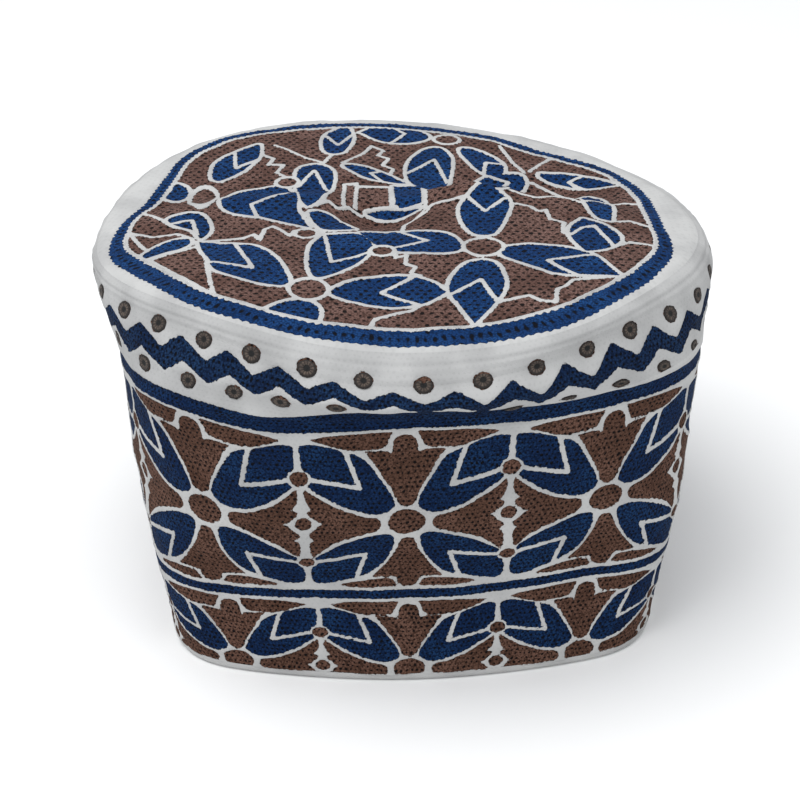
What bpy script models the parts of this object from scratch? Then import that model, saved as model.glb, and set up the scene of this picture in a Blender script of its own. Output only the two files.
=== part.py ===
"""Embroidered round prayer cap (kumma), standing on its rim, unworn.

A soft cloth cap with a round crown, a padded upper band that rolls over a tall side band,
and a turned-in hem. The cloth keeps the form of a cap that was folded flat and opened again:
the rim is a rounded square, the front of the upper band hangs over the side band, and the
crown has a fold across its diameter with a dent behind it.

Metres, +Z up, the front of the cap faces -Y. The origin is under the middle of the cap,
on the surface that the rim stands on.
"""

from collections import namedtuple
from math import pi, radians

import bpy
import numpy as np

# Driving dimensions, in millimetres
MM = 0.001
CLOTH = 2.0          # thickness of the stitched double cloth
HEM_CLOTH = 3.0      # the hem is turned in, so it is thicker
HEM_HEIGHT = 4.0
SEAM_GAP = 0.4       # clearance between neighbouring pieces
AROUND = 72          # facets round the cap
OUTLINE_STEPS = 1440  # fine steps used to space each outline evenly

# Sections of the cap's wall from the rim up. cloth is the way along the cloth from the rim.
# half_width is to the sides, front and back are measured from centre, which is the section's
# own middle on the Y axis, and across is its middle on the X axis. squareness 2 is an ellipse
# and more is squarer. turn is in degrees. bow pushes the middle of the front out, and slump
# lets it sink.
Section = namedtuple(
    "Section", "name cloth height slump half_width front back centre squareness turn across bow")
SECTIONS = (
    Section("rim",          0.0,   0.0, 0.0, 73.0, 70.5, 78.0, -10.0, 5.0, 1.0, 2.0, 5.0),
    Section("low_line",    29.0,  28.5, 0.0, 76.0, 69.5, 82.0,  -9.0, 5.6, 2.5, 1.6, 5.0),
    Section("flowers",     59.0,  57.2, 0.0, 80.8, 79.5, 86.0,  -7.0, 3.6, 6.0, 0.4, 2.5),
    Section("high_line",   91.5,  90.0, 0.0, 84.5, 81.0, 90.0,  -8.0, 3.8, 6.5, 0.2, 4.5),
    Section("tuck",        96.5,  93.0, 1.0, 85.0, 83.0, 91.0,  -9.0, 3.4, 6.0, 0.7, 6.0),
    Section("roll",       104.5,  99.5, 2.5, 87.5, 82.0, 96.0, -12.0, 2.7, 4.0, 1.5, 8.0),
    Section("eyelets",    113.0, 106.0, 3.0, 89.3, 72.5, 99.0, -17.0, 2.3, 2.0, 1.8, 9.0),
    Section("crown_seam", 121.5, 112.0, 3.0, 86.8, 69.0, 99.0, -21.0, 2.0, 3.5, 0.7, 2.0),
)
SLUMP_SPREAD = 38.0      # degrees round the cap
BOW_REACH = 0.75         # share of the half width that the bow takes up

# Where the shoulder of the cap stands up or sinks, by its place round the cap.
# angle 0 is the right side and 90 the back, in degrees.
Lift = namedtuple("Lift", "angle height spread")
LIFTS = (
    Lift(-142.0,  3.5, 28.0),
    Lift(-38.0,   1.0, 25.0),
    Lift(45.0,   -4.0, 35.0),
    Lift(90.0,   -1.0, 30.0),
    Lift(128.0,   3.0, 32.0),
)

# The crown. Its fold runs from side to side and bows to the back in the middle.
CROWN_LEVEL = 112.0
CROWN_MIDDLE = 4.0       # place of the disc's centre on the Y axis
CROWN_PUFF = 2.2         # how far the crown's margin rises from its seam
MARGIN_POWER = 8         # the puff and the fold die out within the margin
EDGE_BLEND = 0.35        # radius share where the seam's rise and fall dies out
FOLD_ENDS = -22.0        # Y of the fold where it meets the sides
FOLD_BOW = 26.0
FOLD_REACH = 88.0        # half length of the fold
FOLD_DROP = 4.5          # how far the crown drops behind the fold
FOLD_DROP_RUN = 13.0     # how far back the drop reaches its full depth
FOLD_RISE_RUN = 66.0     # how far back it rises again
FOLD_FULLNESS = 0.7      # under 1 keeps the drop deep towards its ends
FOLD_CREST = 1.5
CREST_SPREAD = 14.0

# Dents and humps of the crown: a dent has a negative height. across and back are the place of
# its middle, width and run say how far it spreads to the sides and to the front and back.
Dent = namedtuple("Dent", "across back height width run")
DENTS = (
    Dent(-4.8,  -2.5, -9.0, 14.0, 12.0),
    Dent(24.0,   8.0,  3.0, 13.0,  9.0),
    Dent(42.0,  20.0, -4.0, 22.0, 11.0),
    Dent(-57.0,  8.0,  1.5, 20.0, 20.0),
    Dent(-22.0, 26.0,  3.0, 22.0, 18.0),
)

# Borders of the pieces, in cloth length from the rim, and the rows of facets in each piece
HIGH_LINE = SECTIONS[3].cloth
UPPER_BAND_START = HIGH_LINE + 2.5
CROWN_SEAM = SECTIONS[-1].cloth
HEM_ROWS = 2
SIDE_BAND_ROWS = 10
UPPER_BAND_ROWS = 9
CROWN_ROWS = 16
CROWN_PINHOLE = 0.02     # radius share of the last ring before the middle point

# Colours of the solids: base colour and roughness
LOOKS = {
    "rim_hem":    ((0.62, 0.61, 0.58), 0.90),
    "side_band":  ((0.16, 0.12, 0.13), 0.85),
    "upper_band": ((0.66, 0.66, 0.64), 0.90),
    "crown":      ((0.04, 0.09, 0.22), 0.85),
}


def wrap(angle):
    """Brings an angle into the range from -pi to pi."""
    return (angle + pi) % (2 * pi) - pi


def smooth_step(start, end, value):
    """Rises from 0 at start to 1 at end, level at both."""
    share = np.clip((value - start) / (end - start), 0, 1)
    return share * share * (3 - 2 * share)


def section_at(cloth):
    """Values of a section at any way along the cloth, by a smooth curve through the table.

    It is a cubic between rows, whose slope at a row is the harmonic mean of the slopes beside
    it, or level where those two go opposite ways, so that it never overshoots.
    """
    rows = np.array([section[1:] for section in SECTIONS])
    way, values = rows[:, 0], rows[:, 1:]
    slopes = np.diff(values, axis=0) / np.diff(way)[:, None]
    before, after = slopes[:-1], slopes[1:]
    same = before * after > 0
    total = np.where(same, before + after, 1.0)
    inner = np.where(same, 2 * before * after / total, 0.0)
    tangent = np.concatenate([slopes[:1], inner, slopes[-1:]])
    low = int(np.clip(np.searchsorted(way, cloth) - 1, 0, len(way) - 2))
    run = way[low + 1] - way[low]
    share = (cloth - way[low]) / run
    return ((1 + 2 * share) * (1 - share) ** 2 * values[low]
            + share * (1 - share) ** 2 * run * tangent[low]
            + share ** 2 * (3 - 2 * share) * values[low + 1]
            - share ** 2 * (1 - share) * run * tangent[low + 1])


def outline(cloth):
    """Closed outline of the wall at a way along the cloth.

    It has AROUND points, evenly spaced from the front middle. Each point lies at the radius of
    a superellipse, whose front and back have their own depth.
    """
    height, slump, half, front, back, centre, square, turn, across, bow = section_at(cloth)
    angle = np.linspace(-pi / 2, 1.5 * pi, OUTLINE_STEPS + 1)
    cos, sin = np.cos(angle), np.sin(angle)
    depth = np.where(sin < 0, front, back)
    radius = (np.abs(cos / half) ** square + np.abs(sin / depth) ** square) ** (-1 / square)
    x, y = radius * cos, radius * sin
    middle = np.clip(1 - (x / (BOW_REACH * half)) ** 2, 0, 1) ** 2
    y = y - np.where(sin < 0, bow * middle, 0)
    tilt = radians(turn)
    x, y = (x * np.cos(tilt) - y * np.sin(tilt) + across,
            x * np.sin(tilt) + y * np.cos(tilt) + centre)
    z = height - slump * np.exp(-(wrap(angle + pi / 2) / radians(SLUMP_SPREAD)) ** 2)
    share = smooth_step(HIGH_LINE, CROWN_SEAM, cloth)
    for lift in LIFTS:
        z = z + share * lift.height * np.exp(
            -(wrap(angle - radians(lift.angle)) / radians(lift.spread)) ** 2)
    length = np.concatenate([[0], np.cumsum(np.hypot(np.diff(x), np.diff(y)))])
    even = np.arange(AROUND) / AROUND * length[-1]
    return np.stack([np.interp(even, length, axis) for axis in (x, y, z)], axis=-1)


def crown_ring(share):
    """Ring of the crown at a share of its radius, 1 at the seam, drawn in towards the middle."""
    seam = outline(CROWN_SEAM)
    middle = np.array([0.0, CROWN_MIDDLE, 0.0])
    flat = middle + share * (seam - middle)
    x, y = flat[:, 0], flat[:, 1]
    z = CROWN_LEVEL + (seam[:, 2] - CROWN_LEVEL) * smooth_step(EDGE_BLEND, 1.0, share)
    inside = 1 - share ** MARGIN_POWER
    z = z + CROWN_PUFF * inside
    side = np.clip(1 - (x / FOLD_REACH) ** 2, 0, 1)
    behind = y - (FOLD_ENDS + FOLD_BOW * side)
    valley = (smooth_step(0, FOLD_DROP_RUN, behind)
              * (1 - smooth_step(FOLD_DROP_RUN, FOLD_DROP_RUN + FOLD_RISE_RUN, behind)))
    z = z - FOLD_DROP * side ** FOLD_FULLNESS * valley * inside
    z = z + FOLD_CREST * side * np.exp(-(behind / CREST_SPREAD) ** 2) * inside
    for dent in DENTS:
        z = z + dent.height * inside * np.exp(-((x - dent.across) / dent.width) ** 2
                                              - ((y - dent.back) / dent.run) ** 2)
    return np.stack([x, y, z], axis=-1)


def piece_rows():
    """Rings of each piece from the rim up, with a narrow gap between neighbours."""
    half_gap = SEAM_GAP / 2
    hem = np.linspace(0, HEM_HEIGHT - half_gap, HEM_ROWS)
    side = np.linspace(HEM_HEIGHT + half_gap, UPPER_BAND_START - half_gap, SIDE_BAND_ROWS)
    upper = np.linspace(UPPER_BAND_START + half_gap, CROWN_SEAM, UPPER_BAND_ROWS)
    edge = 1 - SEAM_GAP / SECTIONS[-1].half_width
    crown = edge - (edge - CROWN_PINHOLE) * np.linspace(0, 1, CROWN_ROWS)
    return (("rim_hem", [outline(cloth) for cloth in hem]),
            ("side_band", [outline(cloth) for cloth in side]),
            ("upper_band", [outline(cloth) for cloth in upper]),
            ("crown", [crown_ring(share) for share in crown]))


def outward(grid):
    """Unit normals of a grid of rings, which point out of the cap."""
    along = np.gradient(grid, axis=0)
    around = np.roll(grid, -1, axis=1) - np.roll(grid, 1, axis=1)
    normal = np.cross(around, along)
    return normal / np.linalg.norm(normal, axis=-1, keepdims=True)


def ring_faces(lower, upper):
    """Quads between two rings of vertex numbers, wound to face out."""
    return [(lower[k], lower[(k + 1) % AROUND], upper[(k + 1) % AROUND], upper[k])
            for k in range(AROUND)]


def cloth_piece(name, outer, normal, thickness, closed_top):
    """Closed solid of one cloth piece: its outer face, its inner face and the edges between."""
    inner = outer - thickness * normal
    if name == "rim_hem":
        inner[0, :, 2] = 0.0
    rows = len(outer)
    numbers = np.arange(rows * AROUND).reshape(rows, AROUND)
    out_rows, in_rows = numbers.tolist(), (numbers + numbers.size).tolist()
    points = np.concatenate([outer.reshape(-1, 3), inner.reshape(-1, 3)])
    faces = ring_faces(in_rows[0], out_rows[0])
    for row in range(rows - 1):
        faces += ring_faces(out_rows[row], out_rows[row + 1])
        faces += ring_faces(in_rows[row + 1], in_rows[row])
    if closed_top:
        top, under = len(points), len(points) + 1
        points = np.concatenate([points, [outer[-1].mean(axis=0), inner[-1].mean(axis=0)]])
        for k in range(AROUND):
            after = (k + 1) % AROUND
            faces.append((out_rows[-1][k], out_rows[-1][after], top))
            faces.append((in_rows[-1][after], in_rows[-1][k], under))
    else:
        faces += ring_faces(out_rows[-1], in_rows[-1])
    mesh = bpy.data.meshes.new(name)
    mesh.from_pydata((points * MM).tolist(), [], faces)
    mesh.shade_smooth()
    piece = bpy.data.objects.new(name, mesh)
    bpy.context.scene.collection.objects.link(piece)
    mesh.materials.append(cloth_material(name))
    return piece


def cloth_material(name):
    """Plain cloth in the piece's main colour."""
    colour, roughness = LOOKS[name]
    material = bpy.data.materials.new(name)
    material.use_nodes = True
    shader = material.node_tree.nodes["Principled BSDF"]
    shader.inputs["Base Color"].default_value = (*colour, 1.0)
    shader.inputs["Roughness"].default_value = roughness
    shader.inputs["Metallic"].default_value = 0.0
    return material


def build():
    """Models the four pieces of the cap round the origin."""
    for old in list(bpy.data.objects):
        bpy.data.objects.remove(old, do_unlink=True)
    pieces = piece_rows()
    surface = np.array([ring for _, rings in pieces for ring in rings])
    flat = surface.reshape(-1, 3)
    middle = (flat.min(axis=0) + flat.max(axis=0)) / 2
    surface = surface - np.array([middle[0], middle[1], 0.0])
    normal = outward(surface)
    border = 0
    for _, rings in pieces[:-1]:
        border += len(rings)
        shared = normal[border - 1] + normal[border]
        normal[border - 1:border + 1] = shared / np.linalg.norm(shared, axis=-1, keepdims=True)
    start = 0
    for name, rings in pieces:
        end = start + len(rings)
        thickness = HEM_CLOTH if name == "rim_hem" else CLOTH
        cloth_piece(name, surface[start:end], normal[start:end], thickness, name == "crown")
        start = end


build()
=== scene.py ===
# %% [markdown]
# # An embroidered round prayer cap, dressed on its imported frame
# The cap is a tall cotton cap with a round crown, of the kind that is stitched by hand in Oman
# and East Africa. The maker draws the ornament on white cotton, and fills the fields with
# coloured thread round tiny needle holes, so that the white cloth between them is left standing
# as outlines.
#
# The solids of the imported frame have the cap's form but plain walls. Here each cloth piece is
# made again from the same table of sections, on a grid fine enough to carry its ornament, and
# stands in for its solid. Lengths are in millimetres until they go into a mesh.

# %% Load the frame
from math import cos, pi, radians, sin, tau

import bpy
import numpy as np
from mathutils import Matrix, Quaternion, Vector


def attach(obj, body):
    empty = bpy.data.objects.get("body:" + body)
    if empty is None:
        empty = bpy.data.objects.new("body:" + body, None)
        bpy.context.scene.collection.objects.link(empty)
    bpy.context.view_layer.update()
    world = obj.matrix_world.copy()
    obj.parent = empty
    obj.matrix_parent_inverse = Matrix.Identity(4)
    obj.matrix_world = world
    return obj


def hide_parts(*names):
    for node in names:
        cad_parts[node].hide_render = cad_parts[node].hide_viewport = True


MM = 0.001
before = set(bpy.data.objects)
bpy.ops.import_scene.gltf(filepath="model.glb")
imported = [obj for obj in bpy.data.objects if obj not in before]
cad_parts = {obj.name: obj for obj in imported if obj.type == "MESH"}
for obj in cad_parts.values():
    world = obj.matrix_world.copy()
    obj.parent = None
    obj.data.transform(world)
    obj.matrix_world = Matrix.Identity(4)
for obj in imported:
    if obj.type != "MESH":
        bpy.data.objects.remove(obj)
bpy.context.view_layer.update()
print("frame nodes:", sorted(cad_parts))

# %% [markdown]
# ## The form of the cap
# A real cap like this is cut flat, sewn into a tube and steamed, and this one has been folded
# away and opened again. A cloth simulation would give some cap, not this one. So the wall is
# a stack of outlines, each a superellipse with its own front and back depth, and one table says
# how the outline changes on the way up the cloth. It is the table of the solids, so the cloth
# lies where they lie.

# %% Table of sections
# Columns: way up the cloth, height, slump, half width, front, back, centre, squareness, turn in
# degrees, across, bow.
SECTIONS = {
    "rim":        (0.0,   0.0,   0.0, 73.0, 70.5, 78.0, -10.0, 5.0, 1.0, 2.0, 5.0),
    "low_line":   (29.0,  28.5,  0.0, 76.0, 69.5, 82.0,  -9.0, 5.6, 2.5, 1.6, 5.0),
    "flowers":    (59.0,  57.2,  0.0, 80.8, 79.5, 86.0,  -7.0, 3.6, 6.0, 0.4, 2.5),
    "high_line":  (91.5,  90.0,  0.0, 84.5, 81.0, 90.0,  -8.0, 3.8, 6.5, 0.2, 4.5),
    "tuck":       (96.5,  93.0,  1.0, 85.0, 83.0, 91.0,  -9.0, 3.4, 6.0, 0.7, 6.0),
    "roll":       (104.5, 99.5,  2.5, 87.5, 82.0, 96.0, -12.0, 2.7, 4.0, 1.5, 8.0),
    "eyelets":    (113.0, 106.0, 3.0, 89.3, 72.5, 99.0, -17.0, 2.3, 2.0, 1.8, 9.0),
    "crown_seam": (121.5, 112.0, 3.0, 86.8, 69.0, 99.0, -21.0, 2.0, 3.5, 0.7, 2.0),
}
# Where the shoulder stands up or sinks: angle round the cap, height, spread in degrees.
LIFTS = ((-142.0, 3.5, 28.0), (-38.0, 1.0, 25.0), (45.0, -4.0, 35.0),
         (90.0, -1.0, 30.0), (128.0, 3.0, 32.0))
SLUMP_SPREAD = 38.0
BOW_REACH = 0.75
HIGH_LINE = SECTIONS["high_line"][0]
CROWN_SEAM = SECTIONS["crown_seam"][0]
OUTLINE_STEPS = 2880


def smooth_step(start, end, value):
    """Rises from 0 at start to 1 at end, level at both: share squared times (3 - 2 share)."""
    share = np.clip((value - start) / (end - start), 0, 1)
    return share * share * (3 - 2 * share)


def wrap(angle):
    """Angle brought into the range from -pi to pi."""
    return (angle + pi) % tau - pi


def section_at(way):
    """Section values at a way up the cloth.

    Cubic between rows. The slope at a row is the harmonic mean of the slopes beside it, and
    level where they go opposite ways.
    """
    rows = np.array(list(SECTIONS.values()))
    ways, values = rows[:, 0], rows[:, 1:]
    slopes = np.diff(values, axis=0) / np.diff(ways)[:, None]
    before, after = slopes[:-1], slopes[1:]
    same = before * after > 0
    total = np.where(same, before + after, 1.0)
    tangent = np.concatenate([slopes[:1], np.where(same, 2 * before * after / total, 0), slopes[-1:]])
    low = int(np.clip(np.searchsorted(ways, way) - 1, 0, len(ways) - 2))
    run = ways[low + 1] - ways[low]
    share = (way - ways[low]) / run
    return ((1 + 2 * share) * (1 - share) ** 2 * values[low]
            + share * (1 - share) ** 2 * run * tangent[low]
            + share ** 2 * (3 - 2 * share) * values[low + 1]
            - share ** 2 * (1 - share) * run * tangent[low + 1])


def full_outline(way):
    """Fine closed outline at a way up the cloth, and the length round it.

    Radius of a superellipse: (|cos / half width|^n + |sin / depth|^n)^(-1/n), bowed out in
    front, then turned and moved to its centre.
    """
    height, slump, half, front, back, centre, square, turn, across, bow = section_at(way)
    angle = np.linspace(-pi / 2, 1.5 * pi, OUTLINE_STEPS + 1)
    depth = np.where(np.sin(angle) < 0, front, back)
    radius = (np.abs(np.cos(angle) / half) ** square
              + np.abs(np.sin(angle) / depth) ** square) ** (-1 / square)
    x, y = radius * np.cos(angle), radius * np.sin(angle)
    y = y - np.where(y < 0, bow * np.clip(1 - (x / (BOW_REACH * half)) ** 2, 0, 1) ** 2, 0)
    tilt = radians(turn)
    x, y = x * cos(tilt) - y * sin(tilt) + across, x * sin(tilt) + y * cos(tilt) + centre
    z = height - slump * np.exp(-(wrap(angle + pi / 2) / radians(SLUMP_SPREAD)) ** 2)
    for lift_angle, rise, spread in LIFTS:
        z = z + (smooth_step(HIGH_LINE, CROWN_SEAM, way) * rise
                 * np.exp(-(wrap(angle - radians(lift_angle)) / radians(spread)) ** 2))
    length = np.concatenate([[0], np.cumsum(np.hypot(np.diff(x), np.diff(y)))])
    return np.stack([x, y, z], axis=-1), length


LENGTH_ROUND = full_outline(SECTIONS["flowers"][0])[1][-1]
print("length round the flowers, mm:", round(LENGTH_ROUND, 1))

# %% Set the form on the frame
form = np.concatenate([full_outline(way)[0] for way in np.linspace(0, CROWN_SEAM, 60)])
TO_FRAME = -(form.min(axis=0) + form.max(axis=0)) / 2
TO_FRAME[2] = 0.0
print("form moved by, mm:", TO_FRAME.round(2))

# %% [markdown]
# ### What steaming and folding left
# The table gives the cut of the cap. On top of it, the real one keeps soft bulges at its sides,
# is drawn in under the roll in front, and has a crown that was sewn in a little full at one
# place. Each of these is a bell-shaped change of a few millimetres, so it needs only its place,
# its height and its spread.

# %% Ease and bulges
CROWN_MIDDLE = 4.0
# The crown's seam stands out at the front right: mm, angle and spread in degrees, and from where.
SEAM_EASE = 3.6
EASE_ANGLE = -63.0
EASE_SPREAD = 16.0
EASE_START = 112.0
# Bulges of the wall: share of the way round, way out in mm, way up, spread round, spread up.
BULGES = ((0.0, -1.7, 99.5, 0.11, 3.8), (-0.25, -2.2, 88.0, 0.10, 12.0), (-0.21, 2.6, 43.0, 0.08, 24.0),
          (0.20, 2.8, 49.0, 0.08, 28.0), (0.24, 1.2, 104.0, 0.05, 7.0))


def way_out(way, rounds, angle):
    """How far the cloth stands out from its section, in mm.

    A sum of bells, each its height times e to the power of minus (distance / spread) squared.
    """
    out = SEAM_EASE * np.exp(-(wrap(angle - radians(EASE_ANGLE)) / radians(EASE_SPREAD)) ** 2)
    out = out * smooth_step(EASE_START, CROWN_SEAM, way)
    for place, bulge, height, wide, run in BULGES:
        apart = wrap((np.asarray(rounds) - place) * tau) / tau
        out = out + bulge * np.exp(-(apart / wide) ** 2 - ((way - height) / run) ** 2)
    return out


def wall_ring(way, rounds):
    """Points at shares of the way round, from the front point that lies at x = 0.

    A share of the outline's length gives a point by straight lines between the fine points. It
    then moves straight out from the cap's middle by its bulge.
    """
    points, length = full_outline(way)
    points = points + TO_FRAME
    eighth = OUTLINE_STEPS // 8
    near = np.concatenate([points[-eighth - 1:-1], points[:eighth]])
    near_length = np.concatenate([length[-eighth - 1:-1] - length[-1], length[:eighth]])
    start = np.interp(0.0, near[:, 0], near_length)
    wanted = (start + np.asarray(rounds) * length[-1]) % length[-1]
    ring = np.stack([np.interp(wanted, length, axis) for axis in points.T], axis=-1)
    reach = ring[:, :2] - TO_FRAME[:2] - (0, CROWN_MIDDLE)
    out = way_out(way, rounds, np.arctan2(reach[:, 1], reach[:, 0]))
    ring[:, :2] += out[:, None] * reach / np.linalg.norm(reach, axis=-1, keepdims=True)
    return ring


print("front of the rim, mm:", wall_ring(0.0, [0.0])[0].round(1))

# %% Wall and its normals
def wall(ways, rounds):
    """Grid of wall points: one ring for each way up the cloth."""
    return np.stack([wall_ring(way, rounds) for way in ways])


def normals(grid):
    """Unit normals of a grid of closed rings: the way round crossed with the way up."""
    up = np.gradient(grid, axis=0)
    around = np.roll(grid, -1, axis=1) - np.roll(grid, 1, axis=1)
    normal = np.cross(around, up)
    return normal / np.linalg.norm(normal, axis=-1, keepdims=True)


def wall_normals(ways, rounds):
    """Normals of the wall, each from rings half a millimetre above and below its own.

    So two bands that meet at a way up the cloth have the same normals there.
    """
    return np.stack([normals(wall([way - 0.5, way, way + 0.5], rounds))[1] for way in ways])


print("way that the front faces:", wall_normals([HIGH_LINE], np.array([-0.01, 0.0, 0.01]))[0, 1].round(2))

# %% [markdown]
# ## The crown
# The crown is a disc that would lie flat, but it keeps the crease of a fold from side to side,
# with a dent behind it. It is the seam's outline drawn in towards the middle, with a height that
# adds the puffed margin, the crest and the dent.

# %% Crown surface
CROWN_LEVEL = 112.0
CROWN_PUFF = 2.2
MARGIN_POWER = 8
EDGE_BLEND = 0.35
FOLD = dict(ends=-22.0, bow=26.0, reach=88.0, drop=4.5, drop_run=13.0, rise_run=66.0,
            fullness=0.7, crest=1.5, crest_spread=14.0)
# Dents and humps: across, back, height, width, run.
DENTS = ((-4.8, -2.5, -9.0, 14.0, 12.0), (24.0, 8.0, 3.0, 13.0, 9.0), (42.0, 20.0, -4.0, 22.0, 11.0),
         (-57.0, 8.0, 1.5, 20.0, 20.0), (-22.0, 26.0, 3.0, 22.0, 18.0))


def crown_ring(share, rounds):
    """Ring of the crown at a share of its radius.

    Its place is the seam's, drawn in towards the middle by the share. Its height blends from the
    seam's to the crown's level, less the valley behind the fold, plus the fold's crest and a
    bell for each dent or hump. The puff and the fold die out at the seam, as 1 - share^8.
    """
    seam = wall_ring(CROWN_SEAM, rounds) - TO_FRAME
    middle = np.array([0.0, CROWN_MIDDLE, 0.0])
    flat = middle + share * (seam - middle)
    x, y = flat[:, 0], flat[:, 1]
    z = CROWN_LEVEL + (seam[:, 2] - CROWN_LEVEL) * smooth_step(EDGE_BLEND, 1.0, share)
    inside = 1 - share ** MARGIN_POWER
    z = z + CROWN_PUFF * inside
    side = np.clip(1 - (x / FOLD["reach"]) ** 2, 0, 1)
    behind = y - (FOLD["ends"] + FOLD["bow"] * side)
    far = FOLD["drop_run"] + FOLD["rise_run"]
    valley = smooth_step(0, FOLD["drop_run"], behind) * (1 - smooth_step(FOLD["drop_run"], far, behind))
    z = z - FOLD["drop"] * side ** FOLD["fullness"] * valley * inside
    z = z + FOLD["crest"] * side * np.exp(-(behind / FOLD["crest_spread"]) ** 2) * inside
    for across, back, height, width, run in DENTS:
        z = z + height * inside * np.exp(-((x - across) / width) ** 2 - ((y - back) / run) ** 2)
    return np.stack([x, y, z], axis=-1) + TO_FRAME


print("height of the crown's middle, mm:", round(float(crown_ring(0.0, [0.0])[0, 2]), 1))

# %% [markdown]
# ## Charting the ornament
# An embroiderer works from a chart. Painting the ornament as an image would fix its size and
# blur its edges. So each field is a closed outline in millimetres, and every point of the cloth
# is told how far it lies from the nearest blue and from the nearest brown field, with a minus
# sign inside. That number drives both the colour, whose edge stays sharp at any zoom, and the
# relief of the cloth.

# %% Distance to an outline
# Distances are worked out up to this many mm, past which nothing on the cloth depends on them.
FAR = 4.0


def rounded(outline, passes=2):
    """Closed outline with its corners cut: each pass puts points at 1/4 and 3/4 of each side."""
    points = np.asarray(outline, float)
    for _ in range(passes):
        after = np.roll(points, -1, axis=0)
        points = np.stack([0.75 * points + 0.25 * after, 0.25 * points + 0.75 * after], 1).reshape(-1, 2)
    return points


def away_from_line(where, start, end):
    """Distance from points to a straight stitch line between two points."""
    along = end - start
    share = np.clip(((where - start) @ along) / max(along @ along, 1e-9), 0, 1)
    return np.linalg.norm(where - start - share[:, None] * along, axis=-1)


def field_distance(where, outline):
    """Signed distance to a closed outline: to its nearest side, and negative inside.

    A point is inside where a ray to its right crosses the sides an odd number of times.
    """
    starts, ends = outline, np.roll(outline, -1, axis=0)
    nearest = np.full(len(where), 1e6)
    inside = np.zeros(len(where), bool)
    close = ((where > outline.min(axis=0) - FAR) & (where < outline.max(axis=0) + FAR)).all(axis=1)
    near = where[close]
    best, odd = nearest[close], inside[close]
    for start, end in zip(starts, ends):
        best = np.minimum(best, away_from_line(near, start, end))
        crosses = (start[1] > near[:, 1]) != (end[1] > near[:, 1])
        rise = end[1] - start[1] if end[1] != start[1] else 1e-9
        odd ^= crosses & (near[:, 0] < start[0] + (near[:, 1] - start[1]) * (end[0] - start[0]) / rise)
    nearest[close] = np.where(odd, -best, best)
    return np.minimum(nearest, FAR)


def stroke_distance(where, line, half_width):
    """Signed distance to a drawn line: to its nearest stretch, less half its width."""
    points = np.asarray(line, float)
    nearest = np.full(len(where), 1e6)
    for start, end in zip(points[:-1], points[1:]):
        nearest = np.minimum(nearest, away_from_line(where, start, end))
    return nearest - half_width


square = np.array(((0.0, 0.0), (6.0, 0.0), (6.0, 6.0), (0.0, 6.0)))
print("middle and outside of a 6 mm square:", field_distance(np.array(((3.0, 3.0), (8.0, 3.0))), square))

# %% [markdown]
# ### The flower of the side band
# The flower stands ten times round the cap, and each one is the mirror of itself. So the chart
# holds half a flower: from the hub, at 0, to the stem between two flowers. The half row below
# is the top of the same flower, drawn smaller, eleven times round.

# %% Chart of half a flower, in mm from the hub
HALF_FLOWER = 28.35
BROWN_FIELDS = {
    "side_field": ((7.3, 1.6), (12.0, 2.3), (15.8, 3.9), (20.5, 6.5), (23.5, 8.6), (27.4, 12.0),
                   (27.4, 12.0), (27.3, 7.8), (25.2, 5.2), (25.2, 5.2), (27.2, 4.7), (26.4, 3.2),
                   (25.0, 2.2), (24.3, 1.2), (22.0, 0.6), (22.0, 0.6), (24.3, -0.2), (25.0, -1.6),
                   (26.4, -2.6), (27.2, -4.0), (25.2, -5.8), (25.2, -5.8), (26.9, -6.4),
                   (26.9, -11.0), (26.2, -13.4), (26.2, -13.4), (22.0, -8.2), (17.4, -5.8),
                   (12.0, -3.8), (7.3, -2.4)),
    "upper_spray": ((-5.0, 5.2), (2.0, 5.2), (3.3, 10.0), (6.4, 15.5), (8.3, 19.3), (10.4, 22.6),
                    (10.4, 22.6), (4.4, 22.7), (3.4, 20.8), (3.4, 20.8), (3.1, 23.0), (3.1, 25.2),
                    (2.1, 27.4), (0.0, 28.0), (-5.0, 28.0)),
    "upper_sliver": ((24.4, 27.6), (24.4, 27.6), (19.0, 28.9), (10.0, 29.1), (3.3, 29.1), (3.3, 29.1),
                     (4.2, 26.8), (5.0, 24.2), (7.0, 23.6), (10.0, 23.6), (14.5, 23.4), (19.0, 25.0)),
    "lower_spray": ((-5.0, -5.7), (0.0, -5.7), (1.7, -6.2), (2.2, -8.0), (3.3, -11.5), (5.3, -15.3),
                    (7.2, -18.5), (10.0, -21.8), (10.0, -21.8), (3.7, -21.9), (3.0, -22.8),
                    (2.9, -24.2), (1.7, -25.4), (0.0, -25.8), (-5.0, -25.8)),
    "lower_sliver": ((21.5, -25.4), (13.0, -23.3), (9.0, -22.9), (4.6, -22.9), (4.0, -24.4),
                     (2.8, -25.7), (10.0, -25.9)),
}
BLUE_PETALS = {
    "upper_petal": ((4.1, 4.4), (7.0, 2.9), (11.2, 3.6), (15.8, 5.4), (20.5, 8.2), (24.6, 11.2),
                    (26.6, 13.2), (26.6, 13.2), (26.6, 15.6), (27.3, 19.0), (27.5, 25.0),
                    (27.5, 25.6), (25.4, 26.0), (23.2, 25.8), (18.9, 24.2), (15.5, 22.7),
                    (12.8, 21.7), (10.5, 20.0), (8.2, 16.2), (5.5, 11.6), (3.6, 7.7), (3.1, 5.6)),
    "lower_petal": ((3.9, -4.6), (6.5, -4.0), (11.2, -4.9), (15.8, -6.9), (20.5, -9.4),
                    (25.6, -13.4), (25.6, -13.4), (26.2, -16.2), (27.2, -18.6), (27.5, -22.0),
                    (26.6, -24.5), (22.8, -24.5), (18.9, -23.2), (15.0, -22.0), (12.6, -21.2),
                    (10.0, -19.6), (8.0, -17.6), (5.8, -14.2), (4.4, -10.6), (3.6, -7.2)),
}
CHEVRONS = {
    "upper_petal": ((27.0, 15.2), (12.4, 11.4), (15.9, 23.6)),
    "lower_petal": ((25.6, -15.4), (11.7, -12.5), (14.8, -22.8)),
}
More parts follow.
